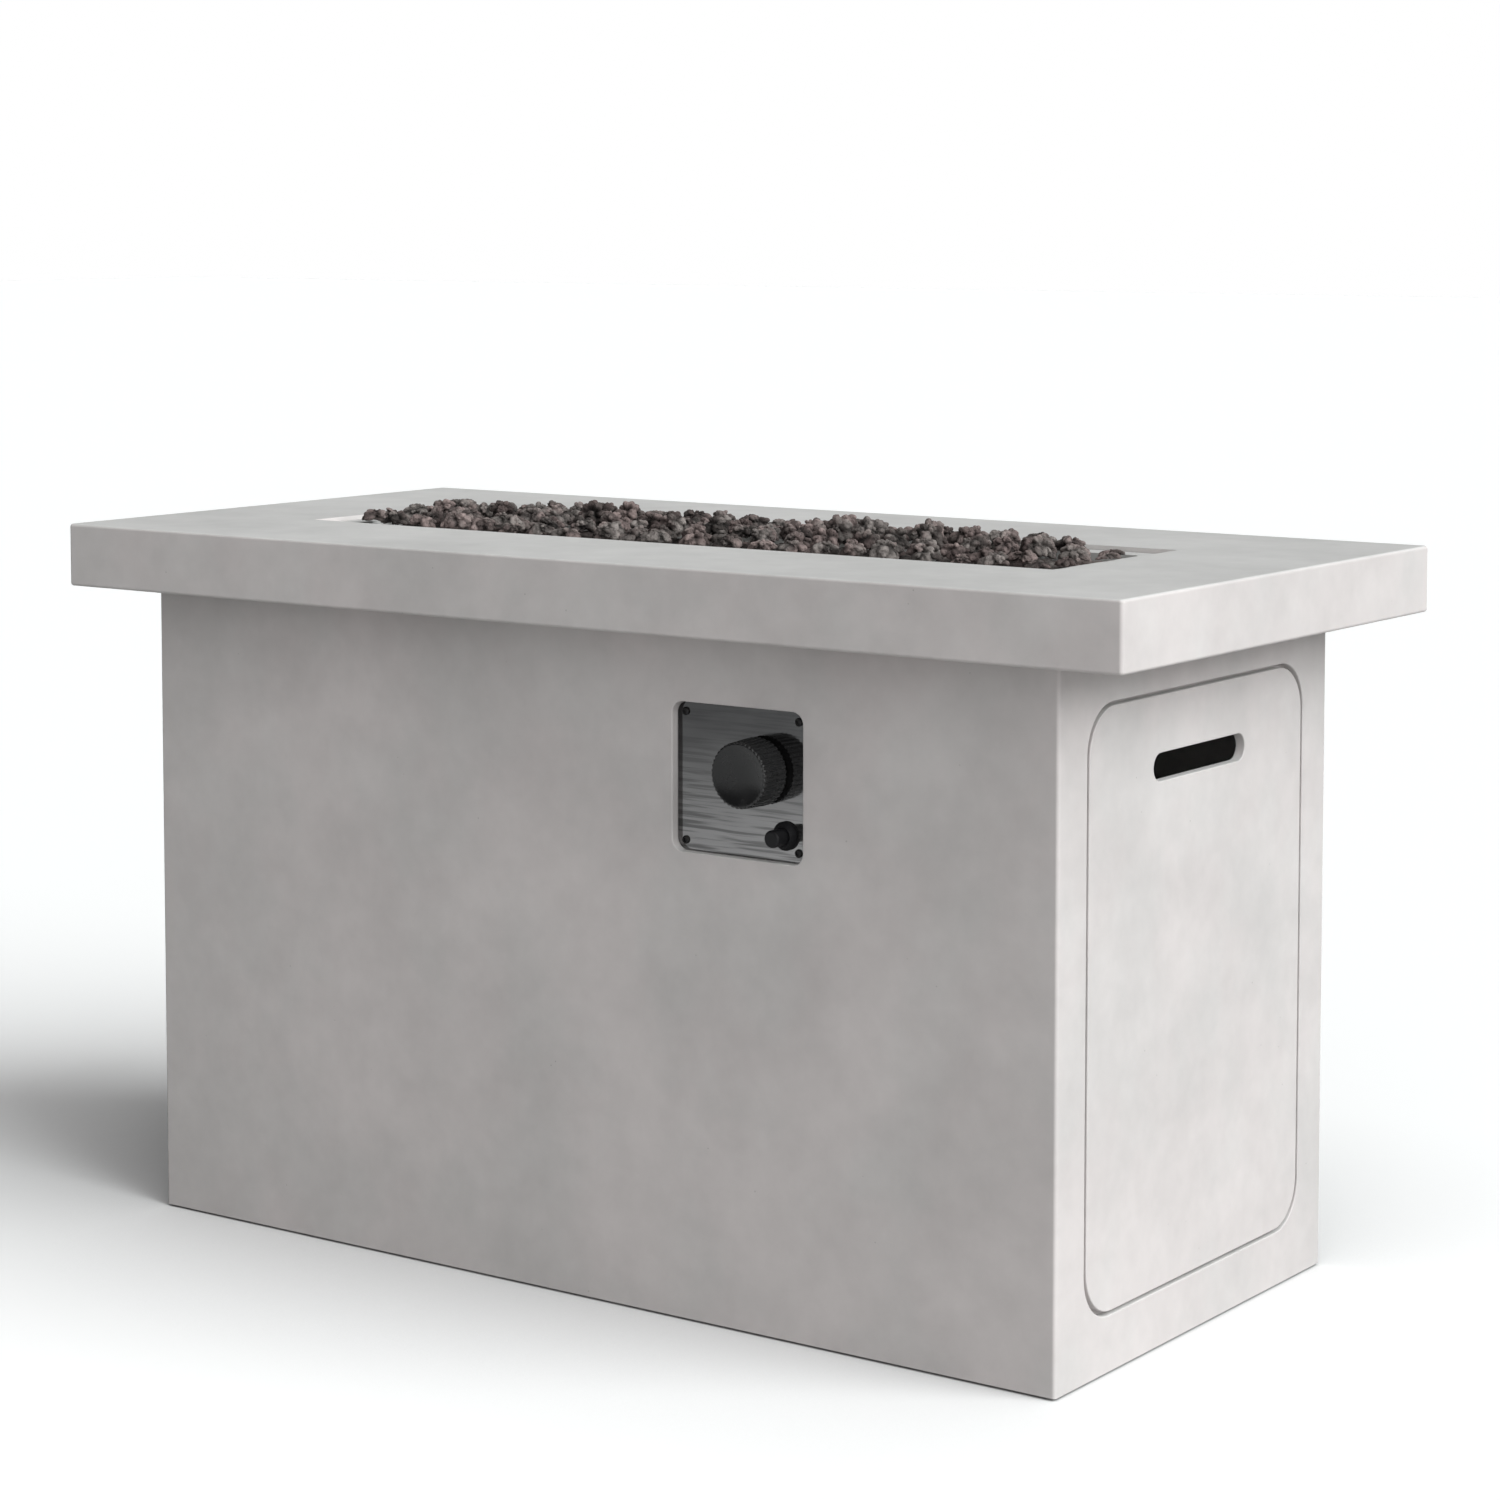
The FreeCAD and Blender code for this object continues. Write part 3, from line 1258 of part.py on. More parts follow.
def bent_path(points):
    """Join straight runs by tangent arcs as large as the shorter run beside each bend allows."""
    edges = []
    last = points[0]
    for before, corner, after in zip(points, points[1:], points[2:]):
        into, out = corner - before, after - corner
        turn = into.getAngle(out)
        setback = BEND_SHARE * min(into.Length, out.Length)
        into.normalize()
        out.normalize()
        start, end = corner - into * setback, corner + out * setback
        inward = out - into
        inward.normalize()
        radius = setback / math.tan(turn / 2)
        centre = corner + inward * (radius / math.cos(turn / 2))
        middle = centre - inward * radius
        edges.append(Part.LineSegment(last, start).toShape())
        edges.append(Part.Arc(start, middle, end).toShape())
        last = end
    edges.append(Part.LineSegment(last, points[-1]).toShape())
    return Part.Wire(edges)


def make_gas_tube():
    """Bent gas tube from the valve's outlet to the injector."""
    outlet_x = "knob_x - outlet_shift"
    route = [
        (outlet_x, PORT_Y, f"{VALVE_TOP} + outlet_length"), (outlet_x, PORT_Y, ELBOW_HEIGHT),
        (outlet_x, "0", ELBOW_HEIGHT), (INJECTOR_END, "0", ELBOW_HEIGHT),
    ]
    points = [FreeCAD.Vector(*(number(text) for text in place)) for place in route]
    path = bent_path(points)
    direction = points[1] - points[0]

    def sweep(radius):
        section = Part.Wire([Part.Circle(points[0], direction, radius).toShape()])
        return path.makePipeShell([section], True, False)

    tube = doc.addObject("Part::Feature", "gas_tube")
    tube.Label = "gas_tube"
    tube.Shape = sweep(number("gas_tube_radius")).cut(sweep(number("gas_tube_radius - gas_tube_wall")))
    nodes["gas_tube"] = tube


# Cylinder bay

def make_heat_shield():
    """Sheet over the gas cylinder, hung from the slab by four bent legs."""
    body = new_body("heat_shield")
    reach = "(tank_radius + shield_margin)"
    pad_on(body, "XY", SHIELD_BOTTOM,
           lambda sketch: rectangle(sketch, f"{TANK_X} - {reach}", f"{TANK_X} + {reach}",
                                    "-tank_radius", "tank_radius"), "shield_thickness")
    for middle in shield_leg_middles():
        low_x, high_x = f"{middle} - shield_leg_width / 2", f"{middle} + shield_leg_width / 2"
        for sign in ("", "-"):
            edge = f"{sign}tank_radius"
            skin = f"{sign}(tank_radius - shield_thickness)"
            foot = f"{sign}(tank_radius - shield_foot_length)"
            pad_on(body, "XY", SHIELD_BOTTOM,
                   lambda sketch: rectangle(sketch, low_x, high_x, edge, skin),
                   f"{RECESS_CEILING} - {SHIELD_BOTTOM}")
            pad_on(body, "XY", RECESS_CEILING,
                   lambda sketch: rectangle(sketch, low_x, high_x, edge, foot), "shield_thickness", "-")
    cut_on(body, "XY", RECESS_CEILING,
           draw_circles(shield_leg_places(), "screw_radius + screw_gap"), "shield_thickness", "-")


# Vents

def make_vent_grille(label, middle):
    """Louvred grille over one opening of the rear wall."""
    body = new_body(label)
    wall = "base_width / 2"
    low_x, high_x = "vent_middle_x - vent_length / 2", "vent_middle_x + vent_length / 2"
    pad_on(body, "XZ", wall,
           lambda sketch: rectangle(sketch, f"{low_x} - vent_flange", f"{high_x} + vent_flange",
                                    f"{middle} - vent_height / 2 - vent_flange",
                                    f"{middle} + vent_height / 2 + vent_flange"), "vent_sheet")
    count = int(number("louvre_count"))
    levels = [f"({middle} + louvre_pitch * {index - (count - 1) / 2})" for index in range(count)]

    def gaps(sketch):
        for level in levels:
            rectangle(sketch, f"{low_x} + vent_flange", f"{high_x} - vent_flange",
                      f"{level} - louvre_gap / 2", f"{level} + louvre_gap / 2")

    cut_on(body, "XZ", wall, gaps, "vent_sheet")

    def blades(sketch):
        for level in levels:
            root = f"{level} + louvre_gap / 2"
            outline(sketch, [(wall, root), (wall, f"{root} + louvre_sheet"),
                             (f"{wall} - louvre_depth", f"{root} + louvre_sheet - louvre_gap"),
                             (f"{wall} - louvre_depth", f"{root} - louvre_gap")])

    pad_on(body, "YZ", f"{low_x} + vent_flange / 2", blades, "vent_length - vent_flange")
    cut_on(body, "XZ", f"{wall} + vent_sheet",
           draw_circles([place for place in vent_screw_places() if place[1] == middle],
                        "screw_radius + screw_gap"), "vent_sheet", "-")


# Lava stones

def box_faces(low, high):
    """Corner loops of an upright box."""
    (x0, y0, z0), (x1, y1, z1) = low, high
    corner = [FreeCAD.Vector(x, y, z) for z in (z0, z1) for y in (y0, y1) for x in (x0, x1)]
    loops = ((0, 2, 3, 1), (4, 5, 7, 6), (0, 1, 5, 4), (2, 6, 7, 3), (0, 4, 6, 2), (1, 3, 7, 5))
    return [[corner[index] for index in loop] for loop in loops]


def closing_face(rim, normal):
    """Put the points round a cut in order, and leave out repeated ones."""
    middle = sum(rim, FreeCAD.Vector()) * (1 / len(rim))
    across = (rim[0] - middle).normalize()
    upward = normal.cross(across)
    rim = sorted(rim, key=lambda vertex: math.atan2((vertex - middle).dot(upward), (vertex - middle).dot(across)))
    return [vertex for index, vertex in enumerate(rim) if (vertex - rim[index - 1]).Length > NEAR / 10]


def clip(faces, point, normal):
    """Keep the part of a convex solid's faces behind a plane, and close the cut."""
    heights = [(vertex - point).dot(normal) for face in faces for vertex in face]
    if max(heights) <= TINY:
        return faces
    kept, rim = [], []
    for face in faces:
        sides = [(vertex - point).dot(normal) for vertex in face]
        clipped = []
        for index, vertex in enumerate(face):
            following = face[(index + 1) % len(face)]
            here, there = sides[index], sides[(index + 1) % len(face)]
            if here <= TINY:
                clipped.append(vertex)
            if min(here, there) < -TINY and max(here, there) > TINY:
                crossing = vertex + (following - vertex) * (here / (here - there))
                clipped.append(crossing)
                rim.append(crossing)
            if abs(here) <= TINY:
                rim.append(vertex)
        if len(clipped) > 2:
            kept.append(clipped)
    return kept + [closing_face(rim, normal)]


def stone_solid(faces):
    """Close a convex set of corner loops into a solid."""
    shell = Part.makeShell([Part.Face(Part.makePolygon(face + [face[0]])) for face in faces])
    solid = Part.Solid(shell)
    if solid.Volume < 0:
        solid.reverse()
    return solid


def chipped(faces, seed, chance, reach):
    """Knock a few corners off a stone with slanted planes."""
    for _ in range(3):
        normal = FreeCAD.Vector(chance.uniform(-1, 1), chance.uniform(-1, 1), chance.uniform(-0.4, 1))
        normal.normalize()
        faces = clip(faces, seed + normal * reach * chance.uniform(0.78, 0.95), normal)
    return faces


def clear_of_well_corner(faces, seed):
    """Bevel a stone that could reach into a rounded corner of the pan's well."""
    across = FreeCAD.Vector(math.copysign(1, seed.x), math.copysign(1, seed.y), 0)
    tangent_point = FreeCAD.Vector(across.x * number("well_length / 2 - well_corner_radius"),
                                   across.y * number("well_width / 2"), seed.z)
    across.normalize()
    return clip(faces, tangent_point - across * number("stone_wall_gap"), across)


def packed_stones(low, high, seeds, pitch, chance):
    """Share a box among seeds, one convex stone each, with a small gap all round."""
    stones = []
    half_gap = number("stone_gap") / 2
    reach = STONE_REACH * pitch
    for seed in seeds:
        box_low = [max(low[axis], seed[axis] - reach) for axis in range(3)]
        box_high = [min(high[axis], seed[axis] + reach) for axis in range(3)]
        faces = box_faces(box_low, box_high)
        near = sorted(seeds, key=lambda other: (other - seed).Length)[1:STONE_NEIGHBOURS]
        for other in near:
            normal = other - seed
            middle = seed + normal * 0.5
            normal.normalize()
            faces = clip(faces, middle - normal * half_gap, normal)
        stones.append(chipped(faces, seed, chance, reach))
    return stones


def seed_grid(low, high, pitch, chance):
    """Spread one level of jittered seeds over a box."""
    seeds = []
    columns, rows = (max(1, round((high[axis] - low[axis]) / pitch)) for axis in (0, 1))
    step_x, step_y = (high[0] - low[0]) / columns, (high[1] - low[1]) / rows
    for row in range(rows):
        slide = STONE_STAGGER if row % 2 else -STONE_STAGGER
        for column in range(columns):
            x = low[0] + (column + 0.5 + slide + chance.uniform(-STONE_JITTER, STONE_JITTER)) * step_x
            y = low[1] + (row + 0.5 + chance.uniform(-STONE_JITTER, STONE_JITTER)) * step_y
            level = (low[2] + high[2]) / 2 + chance.uniform(-STONE_JITTER, STONE_JITTER) * pitch / 2
            seeds.append(FreeCAD.Vector(x, y, level))
    return seeds


def stone_node(label, stones):
    """Keep a layer of stones as one node of separate solids."""
    node = doc.addObject("Part::Feature", label)
    node.Label = label
    node.Shape = Part.makeCompound([stone_solid(faces) for faces in stones])
    nodes[label] = node


def make_lower_stones():
    """Stones in the well: two rows beside the burner, and one over it up to the flange."""
    chance = random.Random(LOWER_SEED)
    gap, stone_gap = number("stone_wall_gap"), number("stone_gap")
    half_x, half_y = number("well_length / 2") - gap, number("well_width / 2") - gap
    pitch = number("lower_stone_pitch")
    floor, lid = number(PAN_FLOOR) + stone_gap, number(FLANGE_TOP)
    over_burner = number(f"{BURNER_HEIGHT} + burner_radius + burner_cap_wall + burner_clearance")
    inner = max(number("saddle_foot / 2"), number("stub_washer_radius")) + gap
    probe_low = number("(electrode_x + sensor_x - ignition_plate_length) / 2") - gap
    probe_high = number("(electrode_x + sensor_x + ignition_plate_length) / 2") + gap
    boxes = [
        ((-half_x, inner, floor), (half_x, half_y, lid)),
        ((-half_x, -half_y, floor), (probe_low, -inner, lid)),
        ((probe_high, -half_y, floor), (half_x, -inner, lid)),
        ((probe_low + stone_gap, -half_y, over_burner), (probe_high - stone_gap, -inner, lid)),
        ((-half_x, stone_gap - inner, over_burner), (half_x, inner - stone_gap, lid)),
    ]
    stones = []
    for low, high in boxes:
        seeds = seed_grid(low, high, pitch, chance)
        for seed, faces in zip(seeds, packed_stones(low, high, seeds, pitch, chance)):
            stones.append(clear_of_well_corner(faces, seed))
    stone_node("lower_lava_stones", stones)


def is_bare(seed, half_x, half_y):
    """Tell whether a place lies in a corner without stones."""
    for side_x, side_y, reach_x, reach_y in BARE_CORNERS:
        from_end = (1 - side_x * seed.x / half_x) / reach_x
        from_side = (1 - side_y * seed.y / half_y) / reach_y
        if from_end + from_side < 1:
            return True
    return False


def heap_top(seed, half_x, half_y, chance):
    """Height of the heap at a place: an uneven level that falls to the edges, with peaks on it."""
    table, unevenness = number("table_height"), number("heap_unevenness")
    top = table + number("heap_level") + chance.uniform(-unevenness, unevenness)
    for along, across, share in HEAP_PEAKS:
        away = math.hypot(seed.x - along * half_x, seed.y - across * half_y) - number("stone_pitch / 2")
        top = max(top, table + share * number("heap_height") - PEAK_SLOPE * max(0.0, away))
    return top - EDGE_FALL * abs(seed.y / half_y) ** 3 - END_FALL * abs(seed.x / half_x) ** 6


def crowned(faces, seed, top, chance):
    """Round a stone's upper half with planes round a ball that touches its top."""
    radius = number("stone_crown_radius")
    centre = FreeCAD.Vector(seed.x, seed.y, top - radius)
    faces = clip(faces, FreeCAD.Vector(seed.x, seed.y, top), FreeCAD.Vector(0, 0, 1))
    for lift, count in CROWN_PLANES:
        level, reach = math.sin(math.radians(lift)), math.cos(math.radians(lift))
        start = chance.uniform(0, FULL_TURN)
        for step in range(count):
            turn = math.radians(start + FULL_TURN * step / count)
            normal = FreeCAD.Vector(reach * math.cos(turn), reach * math.sin(turn), level)
            faces = clip(faces, centre + normal * radius, normal)
    return faces


def make_upper_stones():
    """Rounded stones heaped over the well and its flange."""
    chance = random.Random(UPPER_SEED)
    pitch = number("stone_pitch")
    half_x = number("well_length / 2 + fire_opening_length / 2") / 2
    half_y = number("fire_opening_width / 2") - number("stone_wall_gap + pan_edge_gap")
    floor = number(FLANGE_TOP) + number("stone_gap")
    low, high = (-half_x, -half_y, floor), (half_x, half_y, floor + 2 * number("heap_seed_height"))
    seeds = [seed for seed in seed_grid(low, high, pitch, chance) if not is_bare(seed, half_x, half_y)]
    ceiling = (half_x, half_y, number("table_height + heap_height"))
    stones = []
    for seed, faces in zip(seeds, packed_stones(low, ceiling, seeds, pitch, chance)):
        stones.append(crowned(faces, seed, heap_top(seed, half_x, half_y, chance), chance))
    stone_node("upper_lava_stones", stones)


# Assembly

def make_all():
    """Build every sub-part."""
    make_table_top()
    make_base_shell()
    make_feet()
    make_floor_plate()
    make_tank_ring()
    make_corner_brackets()
    make_screws("bracket_screws", [
        (bracket_screw_places(), "XY", f"{TOP_UNDERSIDE} - bracket_sheet", "+"),
        (bracket_wall_screws(), "XZ", f"-{INNER_WIDTH} / 2 + bracket_sheet", "-"),
        (bracket_wall_screws(), "XZ", f"{INNER_WIDTH} / 2 - bracket_sheet", "+"),
    ])
    make_door_panel()
    make_door_magnets()
    make_strike_plates()
    make_control_plate()
    make_plate_screws()
    make_control_knob()
    make_valve_stem()
    make_valve_collar()
    make_coil_spring("valve_spring", "knob_x", "knob_height_above_floor",
                     "bonnet_front - bonnet_lip - bonnet_cavity_depth + stone_gap / 2",
                     "bonnet_front - bonnet_lip - moving_gap - collar_thickness - stone_gap / 2",
                     "(collar_radius + stem_radius) / 2 + valve_spring_wire / 4",
                     "valve_spring_wire", "valve_spring_turns")
    make_valve_body()
    make_valve_nut()
    make_gas_inlet()
    make_igniter_housing()
    make_igniter_nut()
    make_igniter_button()
    make_coil_spring("igniter_spring", "igniter_x", "igniter_height_above_floor",
                     "-igniter_bore_depth + stone_gap / 2", "-button_back - stone_gap / 2",
                     "button_radius - igniter_spring_wire", "igniter_spring_wire", "igniter_spring_turns")
    make_burner_pan()
    make_burner_tube()
    make_burner_end_caps()
    make_burner_brackets()
    make_elbow_nut()
    make_burner_elbow()
    make_air_mixer()
    make_injector()
    make_gas_tube()
    make_ignition_bracket()
    make_spark_electrode()
    make_thermocouple()
    make_heat_shield()
    make_screws("shield_screws", [(shield_leg_places(), "XY", f"{RECESS_CEILING} - shield_thickness", "+")])
    for label, middle in VENT_HEIGHTS.items():
        make_vent_grille(label, middle)
    make_screws("vent_screws", [(vent_screw_places(), "XZ", "base_width / 2 + vent_sheet", "-")])
    make_lower_stones()
    make_upper_stones()


def check_and_write():
    """Stop on any failed object, then write each sub-part's shape."""
    failed = [item.Name for item in doc.Objects if {"Invalid", "Error"} & set(item.State)]
    if failed:
        raise RuntimeError(f"these objects failed: {failed}")
    for label, node in nodes.items():
        shape = node.Shape
        if shape.isNull() or not shape.isValid() or not shape.Solids:
            raise RuntimeError(f"{label} has no valid solid")
        shape.exportStep(f"parts/{label}.step")
    print(f"{len(nodes)} sub-parts written")


os.makedirs("parts", exist_ok=True)
fill_sheet()
make_all()
doc.recompute()
check_and_write()
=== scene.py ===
"""Gas fire pit table: a pale cast-concrete table round a bed of lava stones, lit as a studio product.

Every length is in metres. +X runs to the end with the door, the control plate faces -Y and +Z is up.
"""
import logging
import math
import random
from collections.abc import Iterator, Mapping, Sequence
from dataclasses import dataclass
from enum import Enum
from typing import Any

import bmesh
import bpy
import numpy as np
from mathutils import Matrix, Vector, noise

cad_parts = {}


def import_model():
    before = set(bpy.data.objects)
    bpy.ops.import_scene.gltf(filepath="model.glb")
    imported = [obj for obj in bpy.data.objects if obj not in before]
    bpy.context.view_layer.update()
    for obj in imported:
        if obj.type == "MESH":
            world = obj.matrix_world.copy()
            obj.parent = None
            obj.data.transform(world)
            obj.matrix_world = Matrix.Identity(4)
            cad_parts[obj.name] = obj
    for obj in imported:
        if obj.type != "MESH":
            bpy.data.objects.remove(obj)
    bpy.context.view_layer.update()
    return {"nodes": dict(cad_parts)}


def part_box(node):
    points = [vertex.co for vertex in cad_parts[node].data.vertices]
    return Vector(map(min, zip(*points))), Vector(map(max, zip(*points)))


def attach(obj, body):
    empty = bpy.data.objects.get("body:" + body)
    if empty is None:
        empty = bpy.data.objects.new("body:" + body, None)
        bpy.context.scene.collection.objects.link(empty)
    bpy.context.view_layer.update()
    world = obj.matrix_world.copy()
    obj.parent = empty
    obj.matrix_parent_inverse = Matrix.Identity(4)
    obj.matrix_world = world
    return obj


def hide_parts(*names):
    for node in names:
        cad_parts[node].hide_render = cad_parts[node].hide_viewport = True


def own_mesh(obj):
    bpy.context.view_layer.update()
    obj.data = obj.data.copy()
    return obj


LOG = logging.getLogger("fire_pit_table")

Colour = tuple[float, float, float]
Place = tuple[float, float, float]

# Point attributes of the stones: how light each point is, and how deep in a crease, which sets a painted
# shade
STONE_SHADE = "stone_shade"
STONE_CREASE_SHADE = "stone_crease_shade"
# Corners of a CAD mesh closer than this are one corner
MERGE_DISTANCE = 1e-6


# Shader recipes


class Wire:
    """A socket's output that adds Math nodes when it is used in an expression."""

    def __init__(self, recipe: "Recipe", socket: bpy.types.NodeSocket) -> None:
        """Keep the output socket and the recipe whose tree holds it."""
        self.recipe = recipe
        self.socket = socket

    def maths(self, operation: str, first: Any, second: Any) -> "Wire":
        """Return the result of one Math node on two values or wires."""
        return self.recipe.node("ShaderNodeMath", {"operation": operation}, {0: first, 1: second})

    def __add__(self, other: Any) -> "Wire":
        """Return self + other."""
        return self.maths("ADD", self, other)

    def __sub__(self, other: Any) -> "Wire":
        """Return self - other."""
        return self.maths("SUBTRACT", self, other)

    def __rsub__(self, other: Any) -> "Wire":
        """Return other - self."""
        return self.maths("SUBTRACT", other, self)

    def __mul__(self, other: Any) -> "Wire":
        """Return self * other."""
        return self.maths("MULTIPLY", self, other)

    def __abs__(self) -> "Wire":
        """Return the absolute value."""
        return self.maths("ABSOLUTE", self, 0.0)

    __radd__ = __add__
    __rmul__ = __mul__

    def least(self, other: Any) -> "Wire":
        """Return the smaller of two values."""
        return self.maths("MINIMUM", self, other)

    def most(self, other: Any) -> "Wire":
        """Return the larger of two values."""
        return self.maths("MAXIMUM", self, other)

    def rise(self, low: float, high: float) -> "Wire":
        """Return a smooth step that climbs from 0 at the low value to 1 at the high one."""
        return self.recipe.node("ShaderNodeMapRange", {"interpolation_type": "SMOOTHSTEP"},
                                {0: self, 1: low, 2: high})


class Recipe:
    """The node tree of a material or of the world, with short ways to add to it."""

    def __init__(self, owner: bpy.types.Material | bpy.types.World) -> None:
        """Start with an empty tree.

        Args:
            owner: The material or the world.
        """
        self.owner = owner
        owner.use_nodes = True
        self.tree = owner.node_tree
        self.tree.nodes.clear()

    @classmethod
    def for_material(cls, name: str) -> "Recipe":
        """Return the recipe of a new material."""
        return cls(bpy.data.materials.new(name))

    @property
    def place(self) -> Wire:
        """Return the place on the surface, in the resting object's coordinates."""
        return self.node("ShaderNodeTexCoord", output="Object")

    def seen(self) -> Wire:
        """Return 1 for what the camera sees, directly, mirrored or through glass, and 0 for light."""
        path = [self.node("ShaderNodeLightPath", output=f"Is {kind} Ray")
                for kind in ("Camera", "Glossy", "Transmission")]
        return path[0].most(path[1]).most(path[2])

    def node(self, kind: str, settings: Mapping[str, Any] | None = None,
             inputs: Mapping[int | str, Any] | None = None, output: int | str | None = 0) -> Wire | None:
        """Add a node.

        Args:
            kind: The node's type.
            settings: Its settings, set before its sockets.
            inputs: Values or wires of its input sockets.
            output: The output socket wanted, or None for a node without one.

        Returns:
            The chosen output.
        """
        added = self.tree.nodes.new(kind)
        for key, value in (settings or {}).items():
            setattr(added, key, value)
        for key, value in (inputs or {}).items():
            if isinstance(value, Wire):
                self.tree.links.new(value.socket, added.inputs[key])
            else:
                added.inputs[key].default_value = value
        return None if output is None else Wire(self, added.outputs[output])

    def part_of(self, vector: Wire, letter: str) -> Wire:
        """Return the X, Y or Z part of a vector or colour."""
        return self.node("ShaderNodeSeparateXYZ", {}, {0: vector}, letter)

    def axis(self, letter: str) -> Wire:
        """Return one coordinate of the place on the surface."""
        return self.part_of(self.place, letter)

    def clouds(self, scale: float, detail: float = 4.0, roughness: float = 0.55,
               stretch: Place = (1.0, 1.0, 1.0)) -> Wire:
        """Add soft noise between 0 and 1.

        Args:
            scale: Patches per metre.
            detail: Octaves of finer noise.
            roughness: How strong the finer noise is.
            stretch: Factors on the axes, for streaks.

        Returns:
            The noise.
        """
        place = self.node("ShaderNodeVectorMath", {"operation": "MULTIPLY"}, {0: self.place, 1: stretch})
        return self.node("ShaderNodeTexNoise", {},
                         {"Vector": place, "Scale": scale, "Detail": detail, "Roughness": roughness})

    def cells(self, scale: float, output: str = "Distance") -> Wire:
        """Scatter cells, so many per metre, and return the "Distance" to the nearest or its "Color"."""
        return self.node("ShaderNodeTexVoronoi", {}, {"Vector": self.place, "Scale": scale}, output)

    def blend(self, share: Any, first: Any, second: Any) -> Wire:
        """Return a mix of two colours or wires, with a share of the second."""
        first, second = (tint if isinstance(tint, Wire) else (*tint, 1.0) for tint in (first, second))
        return self.node("ShaderNodeMix", {"data_type": "RGBA"}, {0: share, 6: first, 7: second}, 2)

    def shade(self, colour: Wire | Colour, amount: Any) -> Wire:
        """Multiply a colour by a value."""
        return self.node("ShaderNodeVectorMath", {"operation": "SCALE"}, {0: colour, "Scale": amount})

    def relief(self, height: Wire, depth: float, strength: float = 1.0) -> Wire:
        """Return the bumped normal of a height pattern from 0 to 1 that is so many metres deep."""
        return self.node("ShaderNodeBump", {}, {"Strength": strength, "Distance": depth, "Height": height})

    def finish(self, colour: Wire, roughness: Any, relief: Wire, **constants: float) -> bpy.types.Material:
        """Close the recipe with one surface shader.

        Args:
            colour: Base colour.
            roughness: Roughness or its wire.
            relief: Bumped normal.
            constants: More sockets of the shader, with words joined by underscores.

        Returns:
            The finished material.
        """
        inputs = {"Base Color": colour, "Roughness": roughness, "Normal": relief}
        inputs.update({key.replace("_", " "): value for key, value in constants.items()})
        surface = self.node("ShaderNodeBsdfPrincipled", {}, inputs)
        self.node("ShaderNodeOutputMaterial", {}, {"Surface": surface}, None)
        return self.owner


# Finishes


@dataclass(frozen=True)
class CastConcrete:
    """Pale cast concrete: softly clouded, sandy to the touch, with pinholes and rubbed edges, a painted
    light tint on what faces up and painted shade in the pinholes.

    A scale is a number of patches per metre.

    Attributes:
        name: Name of the material.
        half_size: Half length and half width of the block, for its edges.
        bottom: Height of the block's underside.
        top: Height of the block's top.
        rosy: Colour of the warmer clouds.
        grey: Colour of the cooler clouds.
        top_light_tint: Colour of what faces up, a painted tint of the light on the top.
        edge_reach: How far an edge is rubbed.
        hue_scale: Scale of the warmer and cooler clouds.
        cloud_scale: Scale of the lighter and darker clouds.
        mottle_scale: Scale of the small patches.
        trowel_scale: Scale of the trowel's marks.
        sand_scale: Scale of the sand's grains.
        pore_scale: Scale of the pinholes.
        swarm_scale: Scale of the places that have pinholes.
        wear_scale: Scale of the worn places on the edges.
        lift: Lightness before the patterns are added.
        relief_depth: How deep the surface's pattern is.
    """

    name: str
    half_size: tuple[float, float]
    bottom: float
    top: float
    rosy: Colour = (0.606, 0.571, 0.563)
    grey: Colour = (0.592, 0.569, 0.560)
    top_light_tint: Colour = (0.590, 0.583, 0.574)
    edge_reach: float = 0.005
    hue_scale: float = 6.5
    cloud_scale: float = 6.0
    mottle_scale: float = 34.0
    trowel_scale: float = 16.0
    sand_scale: float = 1400.0
    pore_scale: float = 60.0
    swarm_scale: float = 19.0
    wear_scale: float = 60.0
    lift: float = 0.83
    relief_depth: float = 0.0004

    def edges(self, recipe: Recipe) -> Wire:
        """Find the block's edges, where two of the three ways out to its faces are short.

        Args:
            recipe: The material in work.

        Returns:
            1 on an edge and 0 away from it.
        """
        along = self.half_size[0] - abs(recipe.axis("X"))
        across = self.half_size[1] - abs(recipe.axis("Y"))
        height = recipe.axis("Z")
        upright = (height - self.bottom).least(self.top - height)
        second = along.least(across).most(along.most(across).least(upright))
        return 1 - second.rise(0.0, self.edge_reach)

    def make(self) -> bpy.types.Material:
        """Build the material.

        Returns:
            The material.
        """
        recipe = Recipe.for_material(self.name)
        facing_up = recipe.part_of(recipe.node("ShaderNodeTexCoord", output="Normal"), "Z")
        warmth = recipe.clouds(self.hue_scale, roughness=0.6, stretch=(1.0, 1.0, 0.8)).rise(0.38, 0.6)
        patches = recipe.clouds(self.cloud_scale, roughness=0.6).rise(0.3, 0.7)
        mottle = recipe.clouds(self.mottle_scale, detail=5.0, roughness=0.65)
        trowel = recipe.clouds(self.trowel_scale, roughness=0.6, stretch=(1.0, 1.0, 0.3))
        sand = recipe.clouds(self.sand_scale, detail=2.0, roughness=0.7)
        swarms = recipe.clouds(self.swarm_scale, detail=1.0).rise(0.55, 0.62)
        pores = (1 - recipe.cells(self.pore_scale).rise(0.03, 0.05)) * swarms
        rubbed = self.edges(recipe) * recipe.clouds(self.wear_scale, detail=3.0).rise(0.3, 0.7)
        level = self.lift + 0.13 * patches + 0.19 * mottle + 0.03 * trowel + 0.01 * sand
        # the rubbed edges are lighter from wear; the pinholes are darkened: painted shade in the holes
        level = level + 0.04 * rubbed - 0.25 * pores
        height = 0.5 * sand + 0.35 * trowel + 0.5 * mottle - 1.4 * pores
        roughness = 0.78 + 0.12 * mottle - 0.1 * rubbed
        sides = recipe.blend(warmth, self.grey, self.rosy)
        # painted light: what faces up takes its own tint, unlike the sides
        colour = recipe.shade(recipe.blend(facing_up.rise(0.5, 0.9), sides, self.top_light_tint), level)
        relief = recipe.relief(height, self.relief_depth, strength=0.4)
        return recipe.finish(colour, roughness, relief, Specular_IOR_Level=0.35)


